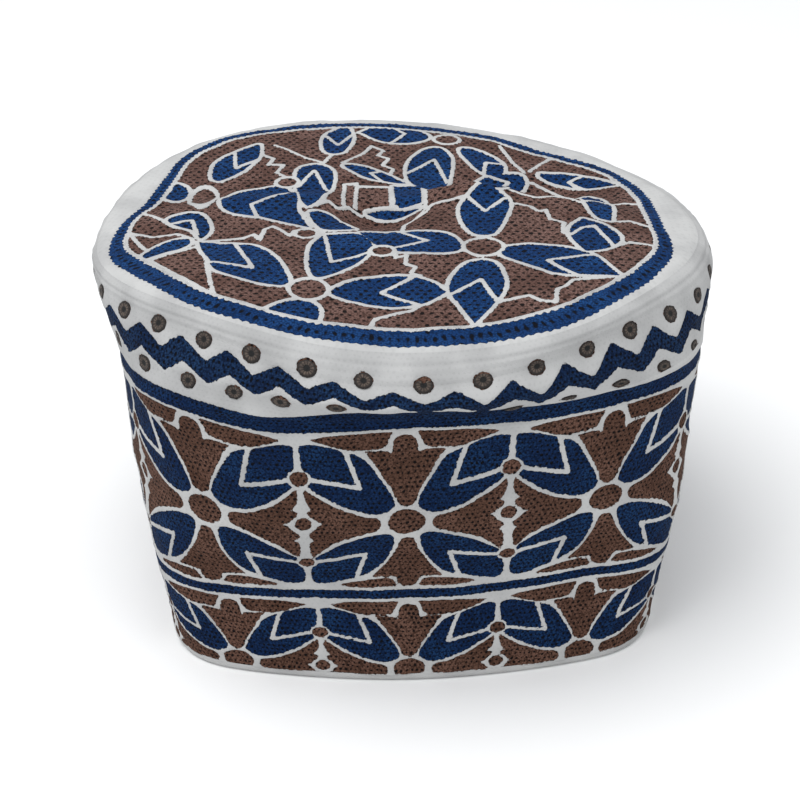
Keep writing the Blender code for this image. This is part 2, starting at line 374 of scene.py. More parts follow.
CHEVRON_WIDTH = 1.6
# Round brown spots: place along, place up, half width, half height.
SPOTS = ((0.0, 0.0, 4.95, 4.1), (28.35, 15.2, 2.4, 2.1), (28.35, 0.6, 2.15, 2.1),
         (28.35, -15.6, 2.1, 1.7))
SPOT_EDGE = 0.85
print("brown fields", len(BROWN_FIELDS), "blue petals", len(BLUE_PETALS), "brown spots", len(SPOTS))


# %% Distances in half a flower
def round_distance(where, spots):
    """Signed distance to the nearest of some ovals, each its middle and its two half sizes.

    Distance over half size in both directions, less 1, times the smaller half size.
    """
    nearest = np.full(len(where), FAR)
    for place, height, half_width, half_height in spots:
        reach = np.hypot((where[:, 0] - place) / half_width, (where[:, 1] - height) / half_height)
        nearest = np.minimum(nearest, (reach - 1) * min(half_width, half_height))
    return nearest


def flower_chart(along, up):
    """Distances to the blue and brown fields of half a flower.

    The nearest field counts. A chevron is cut out of its petal, and a white edge round each spot
    is cut out of the petals.
    """
    where = np.stack([along.ravel(), up.ravel()], axis=-1)
    brown = np.full(len(where), FAR)
    for outline in BROWN_FIELDS.values():
        brown = np.minimum(brown, field_distance(where, rounded(outline)))
    spots = round_distance(where, SPOTS)
    blue = np.full(len(where), FAR)
    for name, outline in BLUE_PETALS.items():
        petal = field_distance(where, rounded(outline))
        chevron = stroke_distance(where, CHEVRONS[name], CHEVRON_WIDTH / 2)
        blue = np.minimum(blue, np.maximum(petal, -chevron))
    blue = np.maximum(blue, SPOT_EDGE - spots)
    brown = np.minimum(brown, spots)
    return blue.reshape(along.shape), brown.reshape(along.shape)


def folded(rounds, count, half):
    """Way from the nearest hub, as if the cloth were folded at each hub and each stem.

    The distance of the count of flowers from the nearest whole number, times a whole flower.
    """
    turns = rounds * count
    return np.abs(turns - np.round(turns)) * 2 * half


print("places along the chart, mm:", folded(np.linspace(0, 0.1, 5), 10, HALF_FLOWER).round(1))

# %% [markdown]
# ### Bands and lines
# The rows of ornament do not run dead level on the cloth: a maker stretches it a little at the
# corners, and the steamed cap keeps that. The wander table moves the rows up or down by their
# place round the cap.

# %% Rows of the wall
# Ways up the cloth: the two rows of hubs, the hem's stitching, the middle line's edges, and the
# foot of the upper line.
HUB_WAY = 57.5
LOW_HUB_WAY = 4.3
HEM_WAY = 2.6
MIDDLE_LINE = (27.7, 30.4)
UPPER_LINE_FOOT = 87.9
# White left between the fields and the middle line, and between the fields and the upper line.
LOW_ROW_CLEAR = 0.6
HIGH_ROW_CLEAR = 1.2
FLOWERS_ROUND = 10
LOW_FLOWERS_ROUND = 11
# The low row is the same flower, smaller, and crowds a little towards the front.
LOW_SCALE = 0.757
LOW_SHARE = 0.8
LOW_FLOWER_EASE = 0.0045
print("flowers every", round(LENGTH_ROUND / FLOWERS_ROUND, 1), "mm")

# %% Wander of the rows
# Columns: share of the way round, shift at the middle line, shift at the upper line's foot, and
# the way up to the upper line's top edge.
LOW_SHIFT, HIGH_SHIFT, LINE_TOP = 1, 2, 3
WANDER = ((-0.5, 0.0, 0.0, 93.7), (-0.30, 0.4, 1.5, 95.2), (-0.20, 0.2, 2.5, 96.0), (-0.14, 0.1, 4.0, 97.4),
          (-0.105, 0.2, 4.6, 98.0), (-0.08, -0.2, 1.0, 96.8), (-0.065, -0.1, -0.7, 95.2),
          (-0.055, 0.1, -1.3, 96.0), (-0.035, 0.4, -0.3, 99.2), (-0.02, 0.5, 0.4, 101.6),
          (0.0, 0.3, 0.2, 103.8), (0.02, 0.2, -0.2, 102.6), (0.036, 0.4, -0.6, 99.6),
          (0.055, 0.8, -0.9, 97.4), (0.075, 1.3, -1.3, 96.2), (0.095, 1.9, -1.1, 95.4),
          (0.105, 1.9, -1.0, 95.0), (0.125, 0.3, -0.8, 93.0), (0.16, -0.6, -1.7, 92.0),
          (0.20, 0.0, -0.4, 93.0), (0.30, 0.3, 0.8, 94.4), (0.5, 0.0, 0.0, 93.7))


def eased(place, table, column, spread):
    """A column of a table at a place round the cap: the mean of five values read nearby."""
    rows = np.array(table)
    turn = rows[-1, 0] - rows[0, 0]
    read = [np.interp((place + shift - rows[0, 0]) % turn + rows[0, 0], rows[:, 0], rows[:, column])
            for shift in np.linspace(-spread, spread, 5)]
    return np.mean(read, axis=0)


def wander(rounds, ways):
    """Way up the chart for each point of the cloth.

    The way up the cloth, less the shifts of the two lines, shared out by the way between them.
    """
    low = eased(rounds, WANDER, LOW_SHIFT, 0.012)
    high = eased(rounds, WANDER, HIGH_SHIFT, 0.012)
    share = np.clip((ways - MIDDLE_LINE[0]) / (UPPER_LINE_FOOT - MIDDLE_LINE[0]), 0, 1.15)
    fade = smooth_step(0, MIDDLE_LINE[0], ways)
    return ways - fade * low * (1 - share) - high * share


def upper_line_top(rounds):
    """Way up to the top edge of the upper line."""
    return eased(rounds, WANDER, LINE_TOP, 0.008)


print("upper line, front: from", UPPER_LINE_FOOT, "to", upper_line_top(0.0).round(1), "mm up")

# %% Chart of the side wall
def upper_line(rounds, ways):
    """Signed distance to the upper line, which is broad where the cloth rolls over it."""
    return np.maximum(UPPER_LINE_FOOT - wander(rounds, ways), ways - upper_line_top(rounds))


def between(value, low, high):
    """Signed distance to a level stripe: negative between its two edges."""
    return np.maximum(low - value, value - high)


def side_chart(rounds, ways):
    """Distances to the blue and brown fields over the whole side wall.

    Each row's flower chart holds on its own side of the middle line. The hem and the two lines
    are stripes, laid over the flowers by taking the greater or the smaller distance.
    """
    up = wander(rounds, ways)
    blue, brown = flower_chart(folded(rounds, FLOWERS_ROUND, HALF_FLOWER), up - HUB_WAY)
    low_rounds = rounds - LOW_FLOWER_EASE * np.sin(tau * rounds)
    low_blue, low_brown = flower_chart(folded(low_rounds, LOW_FLOWERS_ROUND, HALF_FLOWER),
                                       (up - LOW_HUB_WAY) / LOW_SCALE)
    low = up < MIDDLE_LINE[0] - LOW_ROW_CLEAR
    blue = np.where(low, low_blue * LOW_SHARE, blue)
    brown = np.where(low, low_brown * LOW_SHARE, brown)
    hem = HEM_WAY - ways
    blue, brown = np.maximum(blue, hem), np.maximum(brown, hem)
    blue = np.minimum(blue, between(up, *MIDDLE_LINE))
    above = up - UPPER_LINE_FOOT + HIGH_ROW_CLEAR
    blue = np.minimum(np.maximum(blue, above), upper_line(rounds, ways))
    return blue, np.maximum(brown, above)


front = side_chart(np.zeros((1, 3)), np.array([[2.0, 29.0, HUB_WAY]]))
print("to blue and brown at the hem, the middle line and a hub:", np.round(front, 1).tolist())

# %% [markdown]
# ## From grid to cloth
# Each cloth piece is one grid of closed rings. Its blue and brown distances go into the mesh as
# attributes, and its place along the cloth, in centimetres, becomes its UV map, which the
# needle holes follow.

# %% Mesh of a cloth piece
def grid_faces(rows, columns):
    """Quads between the points of a grid of closed rings, each ring's last one back to its first.

    They face outwards where the points run to the right, seen from outside, and the rings up.
    """
    number = np.arange(rows * columns).reshape(rows, columns)
    number = np.concatenate([number, number[:, :1]], axis=1)
    quads = np.stack([number[:-1, :-1], number[:-1, 1:], number[1:, 1:], number[1:, :-1]], axis=-1)
    return quads.reshape(-1, 4)


def make_mesh(name, points, faces, along=None, up=None, marks=None):
    """Puts points in mm and faces into a new piece.

    The ways along and up become its UV map, in centimetres, and the marks its attributes.
    """
    faces = sum([part.tolist() for part in faces], [])
    mesh = bpy.data.meshes.new(name)
    mesh.from_pydata((points * MM).tolist(), [], faces)
    mesh.shade_smooth()
    if along is not None:
        corner_uv = np.stack([along, up], axis=-1) / 10
        layer = mesh.uv_layers.new(name="cloth")
        layer.data.foreach_set("uv", corner_uv.astype(np.float32).ravel())
    for mark, values in (marks or {}).items():
        attribute = mesh.attributes.new(mark, "FLOAT", "POINT")
        attribute.data.foreach_set("value", np.asarray(values, np.float32).ravel())
    piece = bpy.data.objects.new(name, mesh)
    bpy.context.scene.collection.objects.link(piece)
    print(name, "faces:", len(faces))
    return piece


print("faces of a grid of 3 rings of 8 points:", len(grid_faces(3, 8)))

# %% Places on the cloth
def corner_places(faces, columns, rounds, ways, length):
    """Way along and way up at each face corner, in mm.

    Share of the way round times the length round. The last face of a ring runs on to the full
    length, so the pattern doesn't run back over it.
    """
    along = np.append(rounds, rounds[0] + 1) * length
    row, column = faces // columns, faces % columns
    last = (column[:, 1:2] == 0) & (column[:, :1] == columns - 1)
    column = np.where(last & (column == 0), columns, column)
    return along[column].ravel(), ways[row].ravel()


def rides_on_cap(piece, slot, *nodes):
    """The cap has one body, so every piece rides on its root."""
    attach(piece, "root")
    if nodes:
        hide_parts(*nodes)


# Needle holes: how many round the wall, their spacing along a row and the height of a row in cm.
SIDE_HOLES_ROUND = 360
SIDE_HOLES = (LENGTH_ROUND / 10 / SIDE_HOLES_ROUND, 0.145)
CROWN_HOLES = (0.255, 0.20)
print("needle holes on the wall, cm:", np.round(SIDE_HOLES, 3))

# %% [markdown]
# ### Relief
# The thread pulls the coloured fields flat, and the white cloth between them stands up in soft
# ridges, while the whole cloth rises and falls a little, as hand-sewn cotton does. The heights
# here are small, but they give the side light something to catch.

# %% Height of the worked cloth
RIDGE = 0.35
RIDGE_FOOT = -0.35
RIDGE_TOP = 0.6
LINE_HEIGHT = 0.45
LINE_SPREAD = 1.5
# Length and height of each set of waves in the cloth.
CLOTH_WAVES = ((23.0, 0.35), (11.0, 0.18), (5.5, 0.08))
# The thread spreads a little past its drawn line.
SPREAD = 0.12


def unevenness(points, sizes):
    """Small rise and fall of the cloth at its points.

    A sum of sines, four for each wave length, each along its own slanting direction.
    """
    total = np.zeros(points.shape[:-1])
    for number, (length, height) in enumerate(sizes):
        for turn in range(4):
            heading = number * 1.3 + turn * 0.9 + 0.4
            lean = sin(number * 2.1 + turn * 1.7)
            way = (points[..., 0] * cos(heading) + points[..., 1] * sin(heading)
                   + points[..., 2] * lean) / length
            total += height / 4 * np.sin(tau * way + turn * 2.4 + number)
    return total


def relief(blue, brown):
    """Height above the flat cloth: a ridge where both fields are away, and flat inside them."""
    white = np.minimum(blue, brown) - SPREAD
    return RIDGE * smooth_step(RIDGE_FOOT, RIDGE_TOP, white)


print("height in the white and in a field, mm:", relief(np.array([2.0, -1.0]), FAR))

# %% [markdown]
# ## The side band
# The side wall is one length of worked cloth. It is made in two grids, below and above the
# middle line, so that each stays light enough to export. Where they meet, they have the same
# points and the same normals.

# %% Side band
SIDE_COLUMNS = 880
side_rounds = np.arange(SIDE_COLUMNS) / SIDE_COLUMNS
SEAM_FADE = 1.4
# Ways up the cloth of each band's foot and top.
LOW_BAND = (2.4, 27.2)
FLOWER_BAND = (27.2, 96.6)
WHITE_BAND = (96.6, CROWN_SEAM)


def cloth_band(name, ways, rounds, chart, slot, nodes, extra):
    """A band of the wall, raised by its relief, with its chart as attributes.

    Each point is the wall's, moved out along its normal by relief, unevenness and extra height.
    These fade out at the crown's seam, so that the two pieces meet there.
    """
    grid = wall(ways, rounds)
    outward = wall_normals(ways, rounds)
    blue, brown = chart(*np.meshgrid(rounds, ways))
    height = relief(blue, brown) + unevenness(grid, CLOTH_WAVES) + extra(*np.meshgrid(rounds, ways))
    height = height * smooth_step(CROWN_SEAM, CROWN_SEAM - SEAM_FADE, ways)[:, None]
    points = grid + height[..., None] * outward
    faces = grid_faces(len(ways), len(rounds))
    along, up = corner_places(faces, len(rounds), rounds, ways, LENGTH_ROUND)
    piece = make_mesh(name, points.reshape(-1, 3), [faces], along, up, {"blue": blue, "brown": brown})
    rides_on_cap(piece, slot, *nodes)
    return piece


def side_extra(rounds, ways):
    """The middle line is couched a little proud: a rounded ridge over its width."""
    middle = (MIDDLE_LINE[0] + MIDDLE_LINE[1]) / 2
    return LINE_HEIGHT * np.exp(-((wander(rounds, ways) - middle) / LINE_SPREAD) ** 2)


low_band = cloth_band("low_band", np.linspace(*LOW_BAND, 38), side_rounds, side_chart,
                      "side_embroidery", ["side_band"], side_extra)
flower_band = cloth_band("flower_band", np.linspace(*FLOWER_BAND, 104), side_rounds, side_chart,
                         "side_embroidery", ["side_band"], side_extra)

# %% [markdown]
# ## The upper band
# The upper band is left mostly white. A zigzag runs round it in blue, with an eyelet above each
# of its dips and under each of its peaks. The band is softer than the wall, so in front it rolls
# down over the blue line. There the rows come close together and hide each other, so a table
# says how high they lie at each place round the cap.

# %% Rows of the upper band
EYELETS_ROUND = 37
EYELET_PHASE = 0.322
EYELET_RADIUS = (2.55, 2.4)
# An eyelet is left out where it would lie further than this over the upper line.
EYELET_CLEAR = -0.9
# Columns: share of the way round, way up to the upper eyelets, to the middle of the zigzag, its
# swing, its half height, way up to the lower eyelets, and their half height.
HIGH_EYELET, ZIGZAG, SWING, ZIGZAG_HALF, LOW_EYELET, LOW_HALF = range(1, 7)
UPPER_ROWS = ((-0.5, 113.2, 107.6, 2.3, 2.5, 102.0, 2.3), (-0.20, 113.2, 107.0, 2.2, 2.5, 102.0, 2.3),
              (-0.150, 113.0, 106.8, 1.9, 2.6, 102.2, 2.3), (-0.122, 113.9, 107.8, 1.9, 2.6, 102.5, 2.3),
              (-0.097, 113.8, 108.2, 1.9, 2.5, 102.9, 2.3), (-0.072, 114.4, 108.4, 2.0, 2.5, 103.2, 2.3),
              (-0.045, 114.6, 108.6, 2.0, 2.3, 103.6, 2.2), (-0.018, 113.6, 107.6, 1.6, 1.7, 104.0, 1.6),
              (0.008, 112.6, 106.5, 1.3, 1.9, 101.0, 1.0), (0.035, 112.2, 104.8, 2.6, 2.6, 99.0, 1.0),
              (0.062, 112.4, 104.4, 3.1, 2.9, 98.0, 0.8), (0.090, 112.8, 105.0, 3.0, 3.0, 98.1, 1.1),
              (0.117, 113.1, 105.8, 2.7, 3.1, 98.4, 1.9), (0.145, 112.0, 104.6, 2.6, 3.0, 97.8, 2.1),
              (0.172, 111.6, 104.2, 2.5, 2.7, 97.3, 1.6), (0.20, 112.4, 105.8, 2.4, 2.5, 99.8, 2.0),
              (0.30, 113.2, 107.6, 2.3, 2.5, 102.0, 2.3), (0.5, 113.2, 107.6, 2.3, 2.5, 102.0, 2.3))
# At the front left the rows lean: share round for each mm below the top row, place and spread.
ROW_LEAN = 0.00095
LEAN_TOP = 113.5
LEAN_PLACE = -0.12
LEAN_SPREAD = 0.06
print("eyelets every", round(full_outline(UPPER_ROWS[0][1])[1][-1] / EYELETS_ROUND, 1), "mm")


# %% Eyelets' places
def row_ease(rounds, ways):
    """Shift of the rows along the band: a bell round the place of the lean, times the way down."""
    return ROW_LEAN * (LEAN_TOP - ways) * np.exp(-((rounds - LEAN_PLACE) / LEAN_SPREAD) ** 2)


def eyelet_places():
    """Share of the way round, way up, radius and half height of each eyelet.

    The eyelets stand at even shares, the lower row half a space on, with a little unevenness of
    the hand in place and size. Those that the roll hides behind the upper line are left out.
    """
    numbers = np.arange(EYELETS_ROUND) - EYELETS_ROUND // 2
    rows = []
    for lower, row in enumerate((HIGH_EYELET, LOW_EYELET)):
        rounds = (numbers + EYELET_PHASE + lower / 2) / EYELETS_ROUND
        way = eased(rounds, UPPER_ROWS, row, 0.002)
        rounds = rounds + row_ease(rounds, way) + 0.0004 * np.sin(numbers * 2.7 + lower)
        radius = EYELET_RADIUS[lower] * (1 + 0.06 * np.sin(numbers * 1.9 + lower))
        half_height = np.minimum(radius, eased(rounds, UPPER_ROWS, LOW_HALF, 0.002)) if lower else radius
        clear = way - half_height - upper_line_top(rounds) > EYELET_CLEAR
        rows.append(np.stack([rounds, way, radius, half_height], axis=-1)[clear])
    return np.concatenate(rows)


EYELETS = eyelet_places()
print("eyelets:", len(EYELETS))


# %% Zigzag and upper band
# The zigzag's edges slant, so the nearest way to an edge is this share of the way straight up.
ZIGZAG_SLOPE = 0.85
# Fine ridges under the crown's seam: height, way up and spread.
SEAM_RIDGES = ((0.45, 118.9, 0.8), (0.35, 116.7, 0.7))


def upper_chart(rounds, ways):
    """Distances to the zigzag and the upper line, and to the brown rounds of the eyelets.

    The zigzag is a triangle wave, the sum of the odd cosines over the squares of their numbers,
    with its dips at the upper eyelets. Its edges lie half its height above and below the wave.
    """
    turns = (rounds - row_ease(wrap(rounds * tau) / tau, ways)) * EYELETS_ROUND - EYELET_PHASE
    wave = -(np.cos(tau * turns) + np.cos(3 * tau * turns) / 9 + np.cos(5 * tau * turns) / 25) / 1.15
    middle, swing, half = [eased(rounds, UPPER_ROWS, column, 0.006)
                           for column in (ZIGZAG, SWING, ZIGZAG_HALF)]
    blue = np.abs(ways - middle - swing * wave) - half
    brown = np.full(blue.shape, FAR)
    for round_place, way, radius, half_height in EYELETS:
        away = wrap((rounds - round_place) * tau) / tau * LENGTH_ROUND
        reach = np.hypot(away / radius, (ways - way) / half_height)
        brown = np.minimum(brown, (reach - 1) * half_height)
    return np.minimum(blue * ZIGZAG_SLOPE, upper_line(rounds, ways)), brown


def seam_ridges(rounds, ways):
    """Fine ridges under the crown's seam, each a bell over the way up."""
    return sum(height * np.exp(-((ways - way) / spread) ** 2) for height, way, spread in SEAM_RIDGES)


upper_band = cloth_band("white_band", np.linspace(*WHITE_BAND, 50), side_rounds, upper_chart,
                        "white_cloth", ["upper_band"], seam_ridges)

# %% [markdown]
# ## The crown's ornament
# On the crown the same flower is drawn larger and freer. Each flower has its hub, four leaf
# petals with a chevron and brown fields between them, and serrated stems part the flowers.
# The stitched disc is stretched by the fold, so the flowers are placed one by one, and the chart
# is in millimetres across and back from the cap's middle.

# %% Hubs and petals of the crown
# Hubs and small rounds: across, back, half width, half depth.
HUBS = ((23.1, -27.3, 4.9, 5.2), (-25.6, -54.1, 4.6, 5.2), (-59.4, 12.0, 3.3, 8.0), (15.0, 67.0, 3.4, 3.4),
        (-5.6, -28.8, 2.6, 2.6), (-27.5, -15.6, 2.5, 2.5), (-35.0, 27.0, 2.6, 2.6))
# Each petal is its outline, with sharp corners given twice, and then its chevron.
CROWN_PETALS = {
    "near_right_petal_1": (
        ((28.1, -30.0), (30.0, -27.5), (35.0, -26.3), (42.5, -28.1), (48.8, -31.3), (53.8, -35.0),
         (59.4, -48.0), (59.4, -48.0), (47.5, -47.5), (42.5, -45.6), (36.3, -40.6), (28.1, -34.4)),
        ((53.8, -35.0), (40.4, -38.1), (47.5, -47.5))),
    "near_right_petal_2": (
        ((21.9, -35.6), (25.6, -38.1), (27.5, -45.0), (27.8, -52.5), (26.0, -58.5), (19.0, -70.3),
         (19.0, -70.3), (15.0, -60.0), (13.1, -55.6), (12.8, -50.0), (14.4, -43.8), (17.5, -38.1)),
        ((12.8, -55.6), (21.3, -48.1), (25.4, -60.0))),
    "near_right_petal_3": (
        ((16.9, -25.6), (13.8, -18.1), (8.8, -15.6), (3.8, -15.0), (-2.5, -15.3), (-10.0, -15.6),
         (-12.0, -16.2), (-12.0, -16.2), (-7.5, -25.0), (-4.0, -27.5), (0.0, -30.0), (11.3, -30.8),
         (16.3, -30.0)),
        ((-0.6, -15.2), (7.3, -22.5), (-3.1, -27.3))),
    "near_right_petal_4": (
        ((23.8, -19.5), (20.6, -18.0), (18.5, -12.5), (17.3, -5.0), (17.5, 2.0), (20.0, 6.5),
         (25.0, 13.0), (25.0, 13.0), (29.5, 7.5), (32.0, 3.0), (31.0, -4.0), (28.3, -13.5),
         (26.5, -18.5)),
        ((19.8, 6.3), (24.6, -2.5), (30.6, 4.6))),
    "near_left_petal_1": (
        ((-19.6, -55.0), (-18.1, -52.5), (-13.8, -48.1), (-7.5, -45.6), (0.0, -45.0), (5.0, -46.3),
         (8.1, -48.8), (11.7, -54.0), (11.7, -54.0), (7.5, -58.8), (4.4, -61.0), (-5.0, -61.3),
         (-13.8, -58.8), (-18.8, -56.9)),
        ((3.1, -45.2), (-5.9, -53.8), (4.6, -61.2))),
    "near_left_petal_2": (
        ((-24.0, -47.5), (-25.3, -43.8), (-26.0, -37.5), (-26.0, -30.0), (-25.6, -23.8), (-22.1, -17.0),
         (-22.1, -17.0), (-13.8, -16.7), (-11.0, -18.4), (-8.1, -25.6), (-8.8, -28.8), (-12.5, -36.3),
         (-16.3, -41.3), (-21.3, -46.3)),
        ((-22.3, -16.8), (-19.8, -36.5), (-7.6, -28.6))),
    "near_left_petal_3": (
        ((-31.0, -50.0), (-32.5, -43.8), (-35.0, -36.3), (-38.1, -30.0), (-41.9, -25.6), (-46.3, -24.0),
         (-52.5, -23.8), (-57.6, -23.2), (-57.6, -23.2), (-56.3, -30.0), (-53.1, -37.5), (-53.2, -40.6),
         (-51.3, -45.0), (-45.0, -49.4), (-38.8, -52.3), (-32.5, -53.1)),
        ((-47.6, -23.4), (-41.5, -42.9), (-54.4, -38.6))),
    "near_left_petal_4": (
        ((-29.0, -60.0), (-24.0, -61.3), (-22.0, -66.0), (-24.0, -78.0), (-40.0, -78.0), (-36.9, -67.1)),
        None),
    "left_petal_1": (
        ((-53.5, 4.0), (-53.0, 10.0), (-51.0, 16.0), (-46.0, 22.0), (-36.0, 24.6), (-36.0, 24.6),
         (-33.0, 18.0), (-30.8, 8.0), (-31.5, 1.0), (-27.0, -10.5), (-27.0, -10.5), (-34.0, -8.0),
         (-40.0, -5.5), (-46.0, -4.0), (-52.0, -0.5)),
        ((-34.0, 12.5), (-44.4, 2.5), (-42.3, -5.4))),
    "beside_hollow": (
        ((-28.0, 0.6), (-21.3, 1.9), (-17.5, -5.0), (-13.6, -12.8), (-13.6, -12.8), (-22.5, -13.8),
         (-25.0, -7.5)),
        None),
    "left_petal_2": (
        ((-57.5, 26.3), (-58.5, 32.5), (-57.5, 40.0), (-53.8, 46.9), (-48.8, 52.5), (-45.2, 55.4),
         (-45.2, 55.4), (-44.6, 50.0), (-45.2, 43.8), (-48.8, 36.3), (-53.8, 28.8)),
        ((-52.6, 50.4), (-51.5, 36.9), (-44.6, 44.4))),
    "left_petal_3": (
        ((-69.4, -6.9), (-63.0, -2.6), (-58.8, -3.0), (-56.3, -8.8), (-55.3, -15.0), (-57.5, -20.4),
         (-57.5, -20.4), (-60.0, -14.0), (-64.0, -12.0)),
        ((-66.5, -9.4), (-61.0, -7.5), (-58.8, -17.4))),
    "left_petal_4": (
        ((-69.4, 25.0), (-65.0, 21.3), (-64.4, 13.8), (-68.0, 11.3), (-72.0, 14.5), (-73.0, 20.0)),
        None),
    "left_edge_petal": (
        ((-74.0, -35.0), (-69.4, -32.5), (-60.6, -26.4), (-60.4, -20.0), (-65.6, -21.5), (-70.4, -26.0)),
        None),
    "back_left_petal_1": (
        ((-23.8, 51.3), (-25.0, 58.8), (-24.4, 66.3), (-21.3, 71.0), (-18.0, 77.0), (-18.0, 77.0),
         (-16.3, 71.3), (-15.6, 65.0), (-16.9, 57.5), (-18.8, 51.3)),
        ((-24.0, 65.6), (-20.0, 58.8), (-15.8, 67.6))),
    "back_left_petal_2": (
        ((-26.9, 41.3), (-31.3, 37.5), (-32.3, 31.3), (-31.5, 20.0), (-30.0, 7.5), (-28.0, 3.6),
         (-28.0, 3.6), (-24.6, 9.0), (-22.6, 17.0), (-21.3, 26.0), (-20.9, 32.5), (-22.5, 38.8)),
        ((-31.6, 24.0), (-26.8, 35.3), (-22.4, 20.0))),
    "back_left_petal_3": (
        ((-18.8, 41.6), (-13.8, 40.9), (-7.5, 38.2), (2.0, 31.0), (2.0, 31.0), (-7.5, 30.6),
         (-13.8, 34.4)),
        ((-5.4, 38.2), (-9.6, 35.6), (-5.6, 30.2))),
    "back_petal_1": (
        ((13.1, 59.6), (9.0, 59.0), (5.0, 53.5), (2.5, 46.0), (1.9, 40.0), (2.5, 33.0), (6.0, 27.0),
         (12.8, 22.0), (12.8, 22.0), (14.4, 34.0), (15.8, 45.0), (15.6, 53.5)),
        ((2.0, 39.0), (10.6, 49.4), (14.2, 32.6))),
    "back_petal_2": (
        ((19.0, 61.0), (25.0, 58.8), (30.0, 52.5), (33.0, 44.0), (30.0, 38.6), (30.0, 38.6),
         (25.0, 41.5), (21.9, 48.8), (19.6, 55.0)),
        ((31.8, 47.4), (26.9, 49.0), (25.9, 40.6))),
    "back_petal_3": (
        ((10.0, 69.4), (5.0, 74.8), (-2.5, 76.4), (-8.8, 75.0), (-13.0, 70.5), (-13.0, 70.5),
         (-7.5, 64.6), (0.0, 63.2), (6.3, 64.6)),
        ((-2.9, 76.4), (1.5, 70.4), (-3.1, 63.6))),
    "far_right_petal_1": (
        ((42.5, 41.9), (48.8, 42.2), (55.0, 40.2), (61.3, 35.4), (66.6, 30.6), (66.6, 30.6),
         (58.8, 30.2), (52.5, 34.0), (46.3, 37.8)),
        ((57.0, 39.4), (52.2, 36.4), (56.6, 31.0))),
    "far_right_petal_2": (
        ((38.5, 41.2), (30.0, 40.8), (24.0, 36.3), (20.6, 29.0), (20.6, 29.0), (31.3, 29.0),
         (38.5, 33.5)),
        ((27.2, 39.6), (33.6, 36.9), (27.6, 29.2))),
    "far_right_petal_3": (
        ((53.8, 23.0), (59.0, 21.0), (61.6, 8.0), (62.0, -2.0), (60.6, -10.6), (60.6, -10.6),
         (56.4, -8.0), (54.2, 5.0)),
        ((54.2, 3.0), (58.2, 9.0), (62.0, 3.0))),
    "valley_petal": (
        ((22.4, 20.4), (30.0, 18.5), (32.0, 11.3), (27.0, 9.6), (23.6, 12.0)),
        None),
    "right_petal": (
        ((48.0, -20.5), (48.8, -14.0), (52.6, -9.2), (52.6, -9.2), (56.6, -12.0), (60.6, -17.4),
         (62.6, -24.4), (58.6, -29.6), (51.8, -32.2), (51.8, -32.2), (49.2, -26.0)),
        ((48.0, -20.6), (51.9, -15.6), (55.6, -14.6), (59.6, -27.8))),
    "hollow_wall": (
        ((-2.2, 27.4), (-2.2, 27.4), (5.8, 28.8), (5.8, 28.8), (5.9, 10.6), (5.9, 10.6), (-1.6, 12.4),
         (-1.6, 12.4)),
        None),
    "hollow_leaf": (
        ((-10.4, 10.8), (-10.4, 10.8), (-6.0, 12.6), (-1.6, 11.6), (5.4, 7.6), (5.4, 7.6), (-1.5, 8.4),
         (-6.0, 9.4)),
        None),
}
PETAL_EDGE = 1.7
print("hubs", len(HUBS), "petals", len(CROWN_PETALS))

